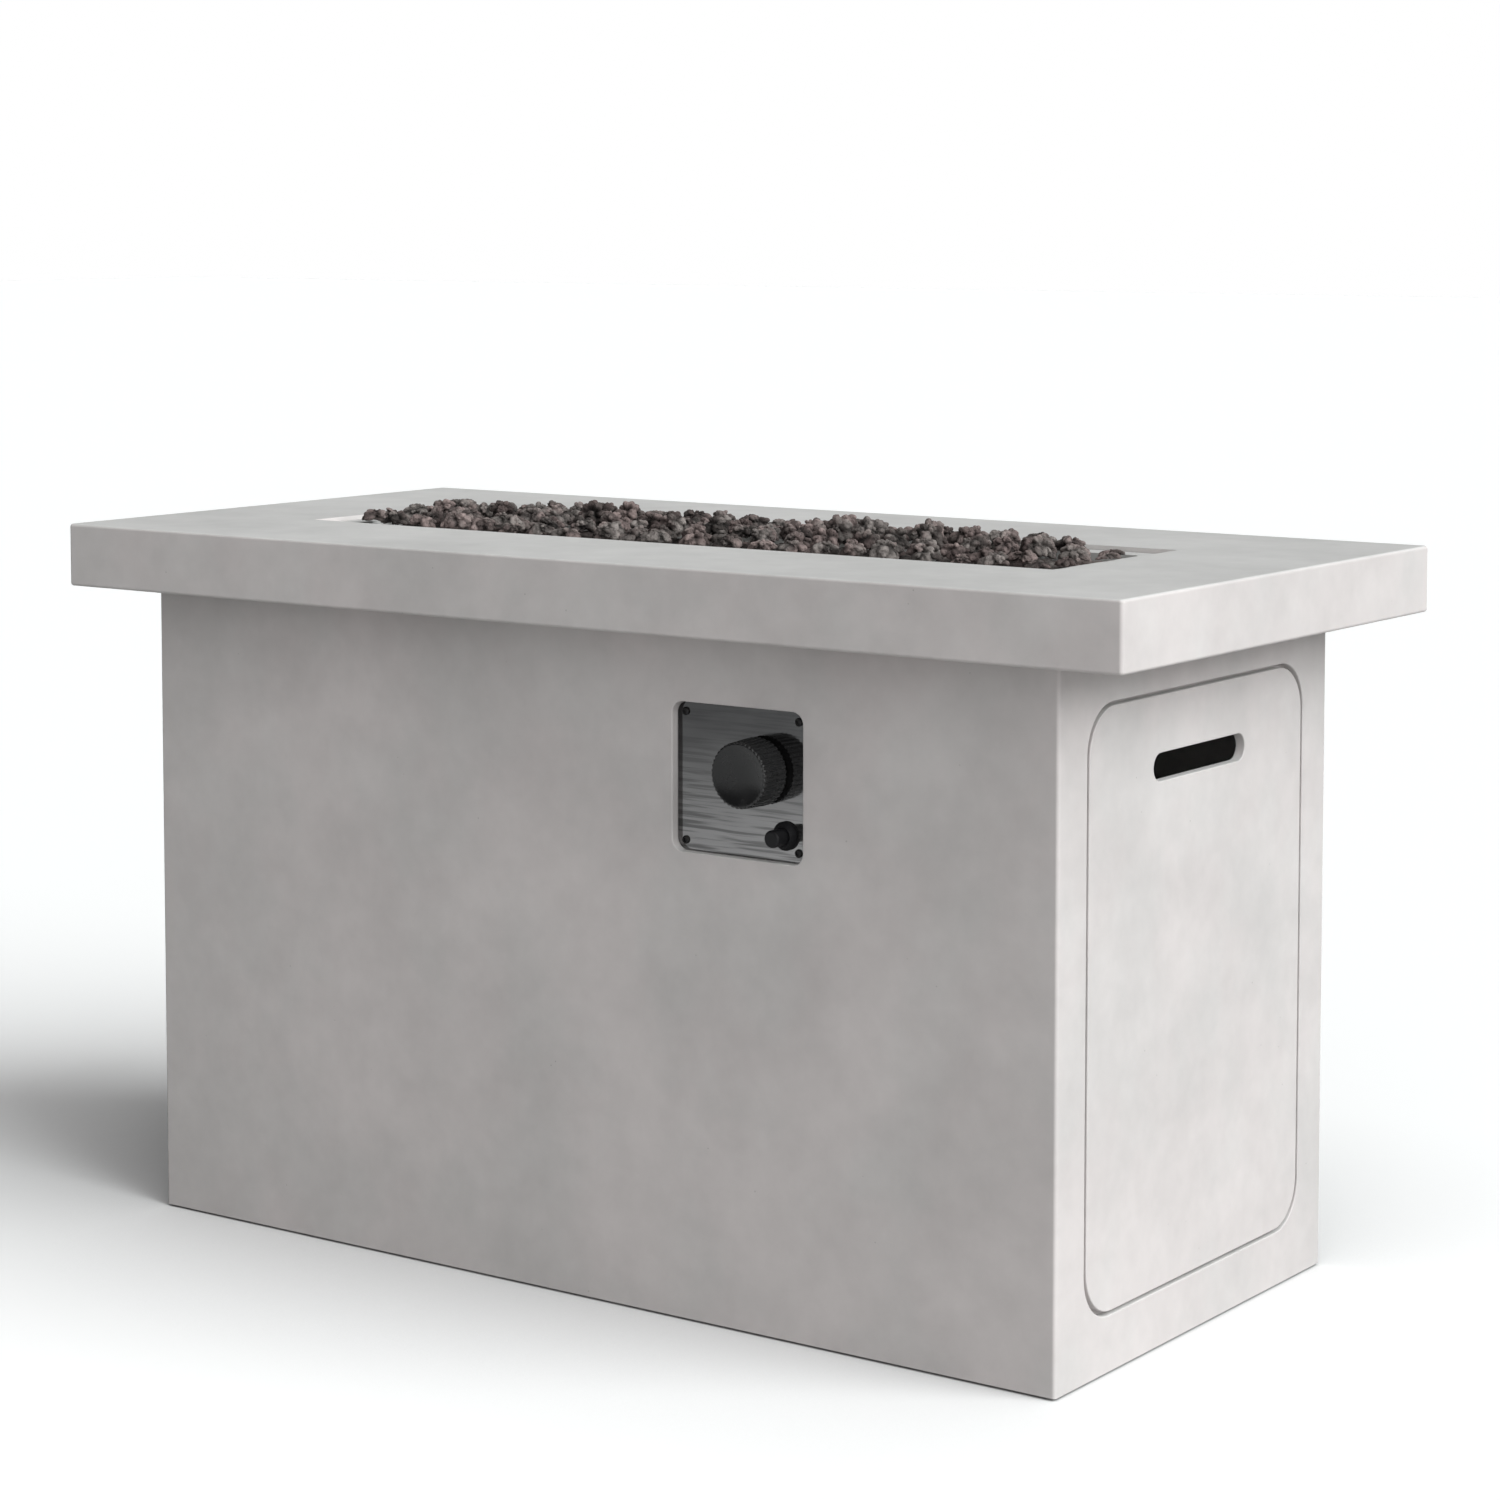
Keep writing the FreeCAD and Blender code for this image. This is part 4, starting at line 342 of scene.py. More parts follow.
@dataclass(frozen=True)
class LavaRock:
    """Dark, bubbly lava: each stone has its own tone, from charcoal to a dusty red-brown, with painted shade
    in its creases and bubbles.

    A scale is a number of patches per metre.

    Attributes:
        name: Name of the material.
        rust: Darkest and lightest colour of the reddish stones.
        ash: Darkest and lightest colour of the grey stones.
        hue_scale: Scale of the change from reddish to grey.
        mottle_scale: Scale of the patches on a stone.
        grit_scale: Scale of the grit.
        bubble_scale: Scale of the bubbles.
        darkest_crease_shade: Lightness of the painted shade at the bottom of a crease.
        relief_depth: How deep the grit and the bubbles are.
    """

    name: str
    rust: tuple[Colour, Colour] = ((0.058, 0.043, 0.041), (0.265, 0.208, 0.197))
    ash: tuple[Colour, Colour] = ((0.050, 0.043, 0.040), (0.245, 0.220, 0.207))
    hue_scale: float = 26.0
    mottle_scale: float = 170.0
    grit_scale: float = 1100.0
    bubble_scale: float = 520.0
    darkest_crease_shade: float = 0.12
    relief_depth: float = 0.0009

    def make(self) -> bpy.types.Material:
        """Build the material.

        Returns:
            The material.
        """
        recipe = Recipe.for_material(self.name)
        tint = recipe.node("ShaderNodeAttribute", {"attribute_name": STONE_SHADE}, {}, "Fac")
        hollow = recipe.node("ShaderNodeAttribute", {"attribute_name": STONE_CREASE_SHADE}, {}, "Fac")
        mottle = recipe.clouds(self.mottle_scale, detail=5.0, roughness=0.65)
        grit = recipe.clouds(self.grit_scale, detail=3.0, roughness=0.7)
        bubbles = 1 - recipe.cells(self.bubble_scale).rise(0.12, 0.42)
        share = (0.9 * tint + 0.7 * (mottle - 0.5)).rise(0.0, 0.8)
        rusty, ashen = recipe.blend(share, *self.rust), recipe.blend(share, *self.ash)
        body = recipe.blend(recipe.clouds(self.hue_scale, detail=3.0).rise(0.4, 0.6), rusty, ashen)
        # painted shade: darker in the creases between lumps and in the bubbles
        level = 1.25 - 1.05 * hollow - 0.25 * bubbles + 0.5 * (grit - 0.5)
        height = 0.6 * grit - 0.9 * bubbles + 0.5 * mottle
        return recipe.finish(recipe.shade(body, level.most(self.darkest_crease_shade)), 0.86 + 0.1 * grit,
                             recipe.relief(height, self.relief_depth, strength=0.8), Specular_IOR_Level=0.25)


class Grain(Enum):
    """How a metal's surface was worked, as factors on the three axes of its fine noise."""

    DRAWN = (40.0, 900.0, 900.0)
    TURNED = (900.0, 60.0, 900.0)
    CAST = (420.0, 420.0, 420.0)


@dataclass(frozen=True)
class WorkedMetal:
    """Bare or plated metal with a fine grain and a little tarnish.

    Attributes:
        name: Name of the material.
        tone: Colour of the clean metal.
        tarnish: Colour of the dull patches.
        roughness: Roughness of the clean metal.
        grain: How the surface was worked.
        patches: Dull patches per metre.
        spangle: Crystal patches per metre, for galvanised sheet, or 0.
        dull_share: How much of the tarnish a dull patch shows.
        relief_depth: How deep the grain is.
    """

    name: str
    tone: Colour
    tarnish: Colour
    roughness: float
    grain: Grain
    patches: float = 35.0
    spangle: float = 0.0
    dull_share: float = 0.75
    relief_depth: float = 0.0001

    def make(self) -> bpy.types.Material:
        """Build the material.

        Returns:
            The material.
        """
        recipe = Recipe.for_material(self.name)
        grain = recipe.clouds(1.0, detail=3.0, roughness=0.6, stretch=self.grain.value)
        patch = recipe.clouds(self.patches, roughness=0.6).rise(0.4, 0.72)
        colour = recipe.blend(self.dull_share * patch, self.tone, self.tarnish)
        level = 0.94 + 0.12 * grain
        roughness = self.roughness + 0.16 * patch + 0.1 * (grain - 0.5)
        if self.spangle:
            crystal = recipe.part_of(recipe.cells(self.spangle, "Color"), "X")
            level = level + 0.16 * (crystal - 0.5)
            roughness = roughness + 0.12 * crystal
        relief = recipe.relief(grain, self.relief_depth, strength=0.35)
        return recipe.finish(recipe.shade(colour, level), roughness, relief, Metallic=1.0)


@dataclass(frozen=True)
class BrushedPlate:
    """Mirror-like steel plate with fine lines along it, with painted shade that darkens it towards its top
    and painted light that brightens it towards its right edge.

    Attributes:
        name: Name of the material.
        left: Where its left edge is, along X.
        right: Where its right edge is.
        bottom: Height of the plate's lower edge.
        top: Height of its upper edge.
        clean: Colour of the steel at its bottom, below the painted shade.
        shaded_top: Colour of the painted shade at the plate's top.
        mirror: Roughness between the lines.
        hairlines: Factors on the axes of the finest lines' noise.
        strokes: Factors on the axes of the broad lines' noise.
        wear_scale: Blotches per metre that break up the edge of the painted shade.
        relief_depth: How deep the lines are.
    """

    name: str
    left: float
    right: float
    bottom: float
    top: float
    clean: Colour = (0.194, 0.192, 0.193)
    shaded_top: Colour = (0.055, 0.055, 0.056)
    mirror: float = 0.05
    hairlines: Place = (9.0, 9.0, 1300.0)
    strokes: Place = (14.0, 14.0, 360.0)
    wear_scale: float = 28.0
    relief_depth: float = 0.00002

    def make(self) -> bpy.types.Material:
        """Build the material.

        Returns:
            The material.
        """
        recipe = Recipe.for_material(self.name)
        # painted shade: climb darkens the steel towards its top, broken up by blotches
        climb = recipe.axis("Z").rise(self.bottom, self.top)
        # painted light: along brightens the steel towards its right edge
        along = recipe.axis("X").rise(self.left, self.right)
        fine = recipe.clouds(1.0, detail=2.0, roughness=0.7, stretch=self.hairlines)
        lines = recipe.clouds(1.0, detail=2.0, roughness=0.5, stretch=self.strokes).rise(0.46, 0.62)
        shade_blotches = recipe.clouds(self.wear_scale, detail=3.0, roughness=0.5, stretch=(1.0, 1.0, 2.5))
        colour = recipe.blend(climb + 0.2 * (shade_blotches - 0.5), self.clean, self.shaded_top)
        level = 0.9 + 0.2 * along + 0.26 * fine - 0.4 * lines * (1.35 - climb)
        relief = recipe.relief(fine - 0.8 * lines, self.relief_depth, strength=0.3)
        return recipe.finish(recipe.shade(colour, level), self.mirror + 0.05 * fine + 0.06 * lines, relief,
                             Metallic=0.93)


@dataclass(frozen=True)
class Moulded:
    """Moulded plastic, rubber or glazed ceramic with a fine grain and some dust.

    Attributes:
        name: Name of the material.
        tone: Main colour.
        dust: Colour of the dust and scuffs.
        roughness: Roughness where it is clean.
        grain: Grains per metre.
        depth: How deep the grain is.
        dust_share: How much of the dust shows.
        gloss: How strongly it mirrors.
        scuff_scale: Scuffs per metre.
    """

    name: str
    tone: Colour
    dust: Colour
    roughness: float
    grain: float
    depth: float
    dust_share: float
    gloss: float = 0.45
    scuff_scale: float = 70.0

    def dust_and_grip_light(self, recipe: Recipe, scuffs: Wire) -> Wire:
        """Return how much of the dust shows."""
        return self.dust_share * scuffs

    def make(self) -> bpy.types.Material:
        """Build the material.

        Returns:
            The material.
        """
        recipe = Recipe.for_material(self.name)
        grain = recipe.clouds(self.grain, detail=3.0, roughness=0.6)
        scuffs = recipe.clouds(self.scuff_scale, detail=5.0, roughness=0.65).rise(0.45, 0.75)
        colour = recipe.blend(self.dust_and_grip_light(recipe, scuffs), self.tone, self.dust)
        roughness = self.roughness + 0.18 * scuffs + 0.08 * (grain - 0.5)
        return recipe.finish(recipe.shade(colour, 0.94 + 0.12 * grain), roughness,
                             recipe.relief(grain, self.depth), Specular_IOR_Level=self.gloss)


@dataclass(frozen=True)
class GripPlastic(Moulded):
    """Moulded plastic of a knob, whose grip carries painted light that makes it lighter than its face.

    Attributes:
        centre: The knob's axis, along X and Z.
        face_radius: Radius of the face, past which the grip begins.
        grip_light_share: How much of the dust colour the grip takes as painted light.
        grip_start: Square of the radius, in face radii, at which the grip shows in full.
    """

    centre: tuple[float, float] = (0.0, 0.0)
    face_radius: float = 1.0
    grip_light_share: float = 0.38
    grip_start: float = 1.15

    def dust_and_grip_light(self, recipe: Recipe, scuffs: Wire) -> Wire:
        """Add the grip's painted light to the scuffs.

        Args:
            recipe: The material in work.
            scuffs: The pattern of scuffs, from 0 to 1.

        Returns:
            How much of the dust and of the grip's painted light shows.
        """
        along, up = recipe.axis("X") - self.centre[0], recipe.axis("Z") - self.centre[1]
        spread = (along * along + up * up) * (1.0 / self.face_radius ** 2)
        # painted light: past the face, the grip is painted lighter
        return (self.dust_share * scuffs).most(self.grip_light_share * spread.rise(1.0, self.grip_start))


BRASS = WorkedMetal("machined_brass", (0.78, 0.60, 0.30), (0.42, 0.30, 0.15), roughness=0.28,
                    grain=Grain.TURNED)
STAINLESS = WorkedMetal("satin_stainless", (0.78, 0.78, 0.77), (0.60, 0.58, 0.55), roughness=0.38,
                        grain=Grain.DRAWN, patches=18.0)
BLASTED_STAINLESS = WorkedMetal("blasted_stainless", (0.70, 0.70, 0.69), (0.60, 0.59, 0.58), roughness=0.8,
                                grain=Grain.CAST, patches=14.0)
GALVANISED = WorkedMetal("galvanised_sheet", (0.62, 0.63, 0.64), (0.45, 0.46, 0.48), roughness=0.42,
                         grain=Grain.CAST, patches=12.0, spangle=75.0)
ALUMINIUM = WorkedMetal("drawn_aluminium", (0.80, 0.80, 0.81), (0.58, 0.58, 0.59), roughness=0.33,
                        grain=Grain.DRAWN)
NICKEL = WorkedMetal("nickel_plate", (0.74, 0.72, 0.68), (0.55, 0.53, 0.50), roughness=0.2, grain=Grain.CAST)
SPRING_STEEL = WorkedMetal("spring_wire", (0.50, 0.50, 0.50), (0.28, 0.27, 0.26), roughness=0.35,
                           grain=Grain.TURNED)
BLACK_SCREW = WorkedMetal("black_oxide", (0.020, 0.020, 0.021), (0.04, 0.038, 0.036), roughness=0.4,
                          grain=Grain.CAST, patches=300.0)
ZINC_SCREW = WorkedMetal("zinc_plate", (0.66, 0.66, 0.62), (0.46, 0.45, 0.40), roughness=0.34,
                         grain=Grain.CAST, patches=300.0)
BLACK_PLASTIC = Moulded("black_plastic", (0.008, 0.008, 0.009), (0.02, 0.02, 0.02), roughness=0.55,
                        grain=1300.0, depth=0.00004, dust_share=0.3, gloss=0.1)
BUTTON_PLASTIC = Moulded("button_plastic", (0.007, 0.007, 0.008), (0.02, 0.02, 0.02), roughness=0.35,
                         grain=900.0, depth=0.00003, dust_share=0.25, gloss=0.15)
RUBBER = Moulded("foot_rubber", (0.035, 0.035, 0.035), (0.20, 0.19, 0.18), roughness=0.8,
                 grain=700.0, depth=0.0003, dust_share=0.4)
CERAMIC = Moulded("glazed_ceramic", (0.82, 0.80, 0.76), (0.30, 0.27, 0.25), roughness=0.16,
                  grain=500.0, depth=0.00004, dust_share=0.35)
LAVA = LavaRock("lava_rock")


# Geometry helpers


def merged_mesh(obj: bpy.types.Object) -> bmesh.types.BMesh:
    """Return a copy of a CAD node's mesh, with the corners that its faces share merged."""
    mesh = bmesh.new()
    mesh.from_mesh(obj.data)
    bmesh.ops.remove_doubles(mesh, verts=mesh.verts, dist=MERGE_DISTANCE)
    return mesh


def joined_solids(obj: bpy.types.Object) -> Iterator[list[bmesh.types.BMFace]]:
    """Walk the separate solids of a CAD node.

    Args:
        obj: The node's object.

    Yields:
        The faces of one solid at a time.
    """
    mesh = merged_mesh(obj)
    waiting = set(mesh.faces)
    for first in list(mesh.faces):
        if first not in waiting:
            continue
        waiting.discard(first)
        solid = [first]
        for face in solid:
            for edge in face.edges:
                for neighbour in edge.link_faces:
                    if neighbour in waiting:
                        waiting.discard(neighbour)
                        solid.append(neighbour)
        yield solid
    mesh.free()


def corners_of(solid: Sequence[bmesh.types.BMFace]) -> np.ndarray:
    """Return the corner points of a solid's faces."""
    return np.array([vertex.co for face in solid for vertex in face.verts])


def new_piece(name: str, points: Sequence[Sequence[float]], faces: Sequence[Sequence[int]],
              material: bpy.types.Material, crease: float = 180.0) -> bpy.types.Object:
    """Make a smooth-shaded mesh object.

    Args:
        name: The object's name.
        points: Its vertices.
        faces: Vertex numbers of its faces.
        material: Its finish.
        crease: Degrees between two faces above which their edge stays sharp.

    Returns:
        The object, linked to the scene.
    """
    mesh = bpy.data.meshes.new(name)
    mesh.from_pydata([tuple(point) for point in points], [], [tuple(face) for face in faces])
    mesh.validate()
    mesh.materials.append(material)
    mesh.shade_smooth()
    mesh.set_sharp_from_angle(angle=math.radians(crease))
    piece = bpy.data.objects.new(name, mesh)
    bpy.context.scene.collection.objects.link(piece)
    return piece


def ring(place: Matrix, sizes: Sequence[float], height: float) -> list[Vector]:
    """Set points evenly round an axis.

    Args:
        place: Where the axis is: along Z from the origin, before this matrix.
        sizes: How far each point is from the axis.
        height: How far the ring is along the axis.

    Returns:
        The points, counterclockwise seen from the far end of the axis.
    """
    turns = [2 * math.pi * step / len(sizes) for step in range(len(sizes))]
    return [place @ Vector((size * math.cos(turn), size * math.sin(turn), height))
            for size, turn in zip(sizes, turns)]


def placed_along(direction: Vector, origin: Sequence[float]) -> Matrix:
    """Return the matrix that turns Z to a direction and moves the origin to a point."""
    return Matrix.Translation(origin) @ direction.to_track_quat("Z", "Y").to_matrix().to_4x4()


def skin(rows: Sequence[Sequence[Vector]], first: int = 0) -> list[list[int]]:
    """Join rings of points with faces and close both ends.

    Args:
        rows: The rings, from the bottom up, each running counterclockwise seen from the top.
        first: Number of the first ring's first point.

    Returns:
        Vertex numbers of the faces.
    """
    around = len(rows[0])
    faces = []
    for row in range(len(rows) - 1):
        start = first + row * around
        for step in range(around):
            after = (step + 1) % around
            faces.append([start + step, start + after, start + around + after, start + around + step])
    last = first + (len(rows) - 1) * around
    faces.append([first + step for step in reversed(range(around))])
    faces.append([last + step for step in range(around)])
    return faces


# Sub-assemblies


@dataclass
class SubAssembly:
    """A group of CAD nodes that are dressed together.

    Attributes:
        nodes: Every CAD node's object by name.
    """

    nodes: Mapping[str, bpy.types.Object]

    def dress(self, material: bpy.types.Material, *names: str) -> None:
        """Give nodes a finish.

        Args:
            material: The finish.
            names: The nodes.
        """
        for name in names:
            obj = self.nodes[name]
            if not obj.material_slots:
                obj.data.materials.append(material)
            for slot in obj.material_slots:
                slot.material = material
            LOG.info("%s is dressed in %s", name, material.name)

    def build(self) -> None:
        """Make and dress the group's pieces."""
        raise NotImplementedError


@dataclass
class Shell(SubAssembly):
    """The slab, the base and the door, all cast in the same concrete."""

    def build(self) -> None:
        """Dress the three castings, each with its own edges."""
        for name in ("table_top", "base_shell", "door_panel"):
            low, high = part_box(name)
            half = (high.x, high.y)
            self.dress(CastConcrete(f"cast_concrete_{name}", half, low.z, high.z).make(), name)


@dataclass
class LavaBed(SubAssembly):
    """The lava stones in the pan and the heap on top of them.

    Attributes:
        heap_fineness: Subdivisions of each stone on the heap.
        well_fineness: Subdivisions of each stone in the pan.
        squareness: How closely a stone fills its flat-faced cell.
        swell_pitch: Distance between a stone's broad swellings.
        swell_depth: How deep the dips between them are.
        lump_pitch: Distance between lumps.
        lump_depth: How deep the creases between lumps are.
        lump_reach: Radius of a lump's round crown, as a share of the distance between lumps.
        knob_pitch: Distance between the small knobs on a lump.
        knob_depth: How deep the creases between knobs are.
        knob_shift: Offset of the knobs' pattern from that of the lumps.
        least_radius: Least share of its distance from the middle that a point keeps.
        lump_tint: How much of a point's lightness is its lump's own, and not its stone's.
        lump_unlikeness: How far apart in the noise the tints of neighbouring lumps are looked up.
        scatter: Width of the range from which each stone's offset of the noise is drawn.
        seed: Starting number of the stones' chance.
    """

    heap_fineness: int = 5
    well_fineness: int = 3
    squareness: float = 8.0
    swell_pitch: float = 0.022
    swell_depth: float = 0.003
    lump_pitch: float = 0.0138
    lump_depth: float = 0.0066
    lump_reach: float = 0.64
    knob_pitch: float = 0.0062
    knob_depth: float = 0.0023
    knob_shift: Place = (0.3, 0.1, 0.2)
    least_radius: float = 0.3
    lump_tint: float = 0.55
    lump_unlikeness: float = 7.3
    scatter: float = 9.0
    seed: int = 23

    def build(self) -> None:
        """Replace both CAD nodes of stones."""
        material = LAVA.make()
        for piece, node, fineness in (("lava_heap", "upper_lava_stones", self.heap_fineness),
                                      ("lava_in_well", "lower_lava_stones", self.well_fineness)):
            self.make_stones(piece, node, fineness, material)

    @staticmethod
    def cells_of(node: bpy.types.Object) -> list[tuple[np.ndarray, np.ndarray, np.ndarray]]:
        """Read each stone's cell.

        Args:
            node: The CAD node with the stones.

        Returns:
            For each stone its middle, the normals of its planes and their distances from the middle, in the
            order of the middles.
        """
        cells = []
        for solid in joined_solids(node):
            corners = corners_of(solid)
            middle = (corners.min(0) + corners.max(0)) / 2
            planes = {tuple(np.round(face.normal, 4)): float(face.normal.dot(face.verts[0].co))
                      for face in solid}
            normals = np.array(list(planes))
            distances = np.array(list(planes.values())) - normals @ middle
            cells.append((middle, normals, distances))
        return sorted(cells, key=lambda cell: tuple(np.round(cell[0], 4)))

    def lump(self, place: Vector, pitch: float) -> tuple[float, float]:
        """Look up the round lump at a place.

        Args:
            place: The place.
            pitch: Distance between lumps.

        Returns:
            How far below the lump's crown the place is, from 0 to 1, and the lump's own random number.
        """
        distances, middles = noise.voronoi(place / pitch)
        below = 1.0 - math.sqrt(max(0.0, 1.0 - (distances[0] / self.lump_reach) ** 2))
        return below, abs(noise.noise(middles[0] * self.lump_unlikeness)) * 2.0

    def carve(self, points: np.ndarray, centre: np.ndarray, shift: Vector,
              tint: float) -> tuple[np.ndarray, np.ndarray, np.ndarray]:
        """Wear creases between round lumps and knobs into a stone's smooth surface.

        Args:
            points: Points on the smooth surface.
            centre: Middle of the stone.
            shift: Offset of the noise, so that stones differ.
            tint: How light the stone is, from 0 to 1.

        Returns:
            The moved points, how light each is and how hollow it is, both from 0 to 1; how hollow it is sets
            the painted shade in the creases.
        """
        moved = np.empty_like(points)
        light, hollow = np.empty(len(points)), np.empty(len(points))
        for index, point in enumerate(points):
            place = Vector(point) + shift
            swell = 0.5 + 0.5 * noise.noise(place / self.swell_pitch)
            crease, own = self.lump(place, self.lump_pitch)
            groove, _ = self.lump(place + Vector(self.knob_shift), self.knob_pitch)
            outward = point - centre
            lost = self.swell_depth * swell + self.lump_depth * crease + self.knob_depth * groove
            moved[index] = centre + outward * max(self.least_radius, 1.0 - lost / np.linalg.norm(outward))
            light[index] = min(1.0, (1.0 - self.lump_tint) * tint + self.lump_tint * own)
            hollow[index] = min(1.0, 0.75 * crease + 0.4 * groove)
        return moved, light, hollow

    def make_stones(self, name: str, node: str, fineness: int, material: bpy.types.Material) -> None:
        """Build the stones of one node as one piece.

        Args:
            name: The piece's name.
            node: The CAD node that it stands for.
            fineness: Subdivisions of each stone.
            material: Its finish.
        """
        ball = bmesh.new()
        bmesh.ops.create_icosphere(ball, subdivisions=fineness, radius=1.0)
        directions = np.array([vertex.co for vertex in ball.verts])
        triangles = np.array([[vertex.index for vertex in face.verts] for face in ball.faces])
        ball.free()
        chance = random.Random(self.seed)
        points, faces, shades, hollows = [], [], [], []
        for count, (middle, normals, distances) in enumerate(self.cells_of(self.nodes[node])):
            reach = np.maximum(directions @ normals.T, 0.0) / distances
            radii = (reach ** self.squareness).sum(1) ** (-1.0 / self.squareness)
            shift = Vector([chance.uniform(0.0, self.scatter) for _ in range(3)])
            smooth = middle + directions * radii[:, None]
            moved, light, hollow = self.carve(smooth, middle, shift, chance.random())
            points.append(moved)
            faces.append(triangles + count * len(directions))
            shades.append(light)
            hollows.append(hollow)
        piece = new_piece(name, np.concatenate(points), np.concatenate(faces), material)
        for attribute, values in ((STONE_SHADE, shades), (STONE_CREASE_SHADE, hollows)):
            layer = piece.data.attributes.new(attribute, "FLOAT", "POINT")
            layer.data.foreach_set("value", np.concatenate(values).astype(np.float32))
        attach(piece, "root")
        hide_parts(node)
        LOG.info("%s has %d stones", name, len(points))


@dataclass
class Burner(SubAssembly):
    """The pan, the burner and its gas parts, with the ignition."""

    def build(self) -> None:
        """Dress the burner's nodes."""
        self.dress(BLASTED_STAINLESS.make(), "burner_pan")
        self.dress(STAINLESS.make(), "burner_tube", "burner_end_caps", "burner_brackets", "ignition_bracket",
                   "thermocouple")
        self.dress(BRASS.make(), "burner_elbow", "elbow_nut", "injector", "valve_body", "valve_nut",
                   "gas_inlet_fitting")
        self.dress(ALUMINIUM.make(), "gas_tube")
        self.dress(CERAMIC.make(), "spark_electrode")


@dataclass
class SocketScrews(SubAssembly):
    """Screws with a hexagon socket, built where a CAD node has its plain screws.

    Attributes:
        node: The CAD node.
        slot: The record's material slot; not used.
        metal: Its finish.
        segments: Points round a screw.
        socket_share: Half width of the socket across its flats, as a share of the head's radius.
        socket_depth: Depth of the socket, as a share of the head's height.
        bevel_width: Width of the bevel round the socket, as a share of the socket.
        bevel_depth: Depth of that bevel, as a share of the head's height.
        crown_rings: Rings of points over the head's rounding.
        crown_flat: Radius of the head's flat top, as a share of the head's radius.
        crown_wall: Height of the head's upright side, as a share of the head's height.
        tip_width: Radius of the shank's tip, as a share of the shank's radius.
        tip_length: Length of the tapered tip, as a share of the shank's length.
        rim_share: Share of the head's radius beyond which a corner lies on the head's rim.
        tip_reach: How near to the shank's end a corner lies on its tip.
        crease: Degrees above which an edge stays sharp.
    """

    node: str = ""
    slot: str = "zinc_screw"
    metal: WorkedMetal = ZINC_SCREW
    segments: int = 36
    socket_share: float = 0.5
    socket_depth: float = 0.62
    bevel_width: float = 0.06
    bevel_depth: float = 0.04
    crown_rings: int = 5
    crown_flat: float = 0.66
    crown_wall: float = 0.35
    tip_width: float = 0.6
    tip_length: float = 0.1
    rim_share: float = 0.97
    tip_reach: float = 1e-5
    crease: float = 40.0

    def hexagon(self, turn: float) -> float:
        """Return the radius of a unit hexagon at an angle."""
        sixth = math.pi / 3
        return 1.0 / math.cos((turn + sixth / 2) % sixth - sixth / 2)

    def profile(self, head_radius: float, head: float, shank_radius: float,
                shank: float) -> list[tuple[float, float, bool]]:
        """List the rings of a screw from its tip to the bottom of its socket.

        Args:
            head_radius: Radius of the head.
            head: Height of the head.
            shank_radius: Radius of the shank.
            shank: Length of the shank.

        Returns:
            Each ring's radius, its height above the seat and whether it is a hexagon.
        """
        rings = [(shank_radius * self.tip_width, -shank, False),
                 (shank_radius, -shank * (1.0 - self.tip_length), False),
                 (shank_radius, 0.0, False), (head_radius, 0.0, False)]
        for step in range(self.crown_rings):
            turn = step * math.pi / 2 / (self.crown_rings - 1)
            rings.append((head_radius * (self.crown_flat + (1.0 - self.crown_flat) * math.cos(turn)),
                          head * (self.crown_wall + (1.0 - self.crown_wall) * math.sin(turn)), False))
        socket = self.socket_share * head_radius
        rings += [(socket * (1.0 + self.bevel_width), head, True),
                  (socket, head * (1.0 - self.bevel_depth), True),
                  (socket, head * (1.0 - self.socket_depth), True)]
        return rings

    def build(self) -> None:
        """Replace the node's plain screws."""
        points: list[Vector] = []
        faces: list[list[int]] = []
        for solid in joined_solids(self.nodes[self.node]):
            self.add_screw(corners_of(solid), points, faces)
        piece = new_piece(f"detailed_{self.node}", points, faces, self.metal.make(), self.crease)
        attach(piece, "root")
        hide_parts(self.node)
        LOG.info("%s stands for %s", piece.name, self.node)

    def add_screw(self, corners: np.ndarray, points: list[Vector], faces: list[list[int]]) -> None:
        """Add one screw to the mesh in work.

        Args:
            corners: Corner points of the plain screw.
            points: Vertices so far.
            faces: Faces so far.
        """
        low, high = corners.min(0), corners.max(0)
        axis = int(np.argmax(high - low))
        middle = (low + high) / 2
        across = [index for index in range(3) if index != axis]
        radial = np.linalg.norm((corners - middle)[:, across], axis=1)
        head_radius = float(radial.max())
        on_head = corners[radial > self.rim_share * head_radius][:, axis]
        outward = 1.0 if on_head.mean() > middle[axis] else -1.0
        seat = on_head.min() if outward > 0 else on_head.max()
        far, near = (high[axis], low[axis]) if outward > 0 else (low[axis], high[axis])
        tip = corners[np.abs(corners[:, axis] - near) < self.tip_reach]
        shank_radius = float(np.linalg.norm((tip - middle)[:, across], axis=1).max())
        direction = Vector([outward if index == axis else 0.0 for index in range(3)])
        origin = Vector([seat if index == axis else middle[index] for index in range(3)])
        place = placed_along(direction, origin)
        hexagon = [self.hexagon(2 * math.pi * step / self.segments) for step in range(self.segments)]
        round_off = [1.0] * self.segments
        rings = self.profile(head_radius, abs(far - seat), shank_radius, abs(seat - near))
        rows = [ring(place, [radius * share for share in (hexagon if is_hexagon else round_off)], height)
                for radius, height, is_hexagon in rings]
        faces.extend(skin(rows, len(points)))
        points.extend(point for row in rows for point in row)


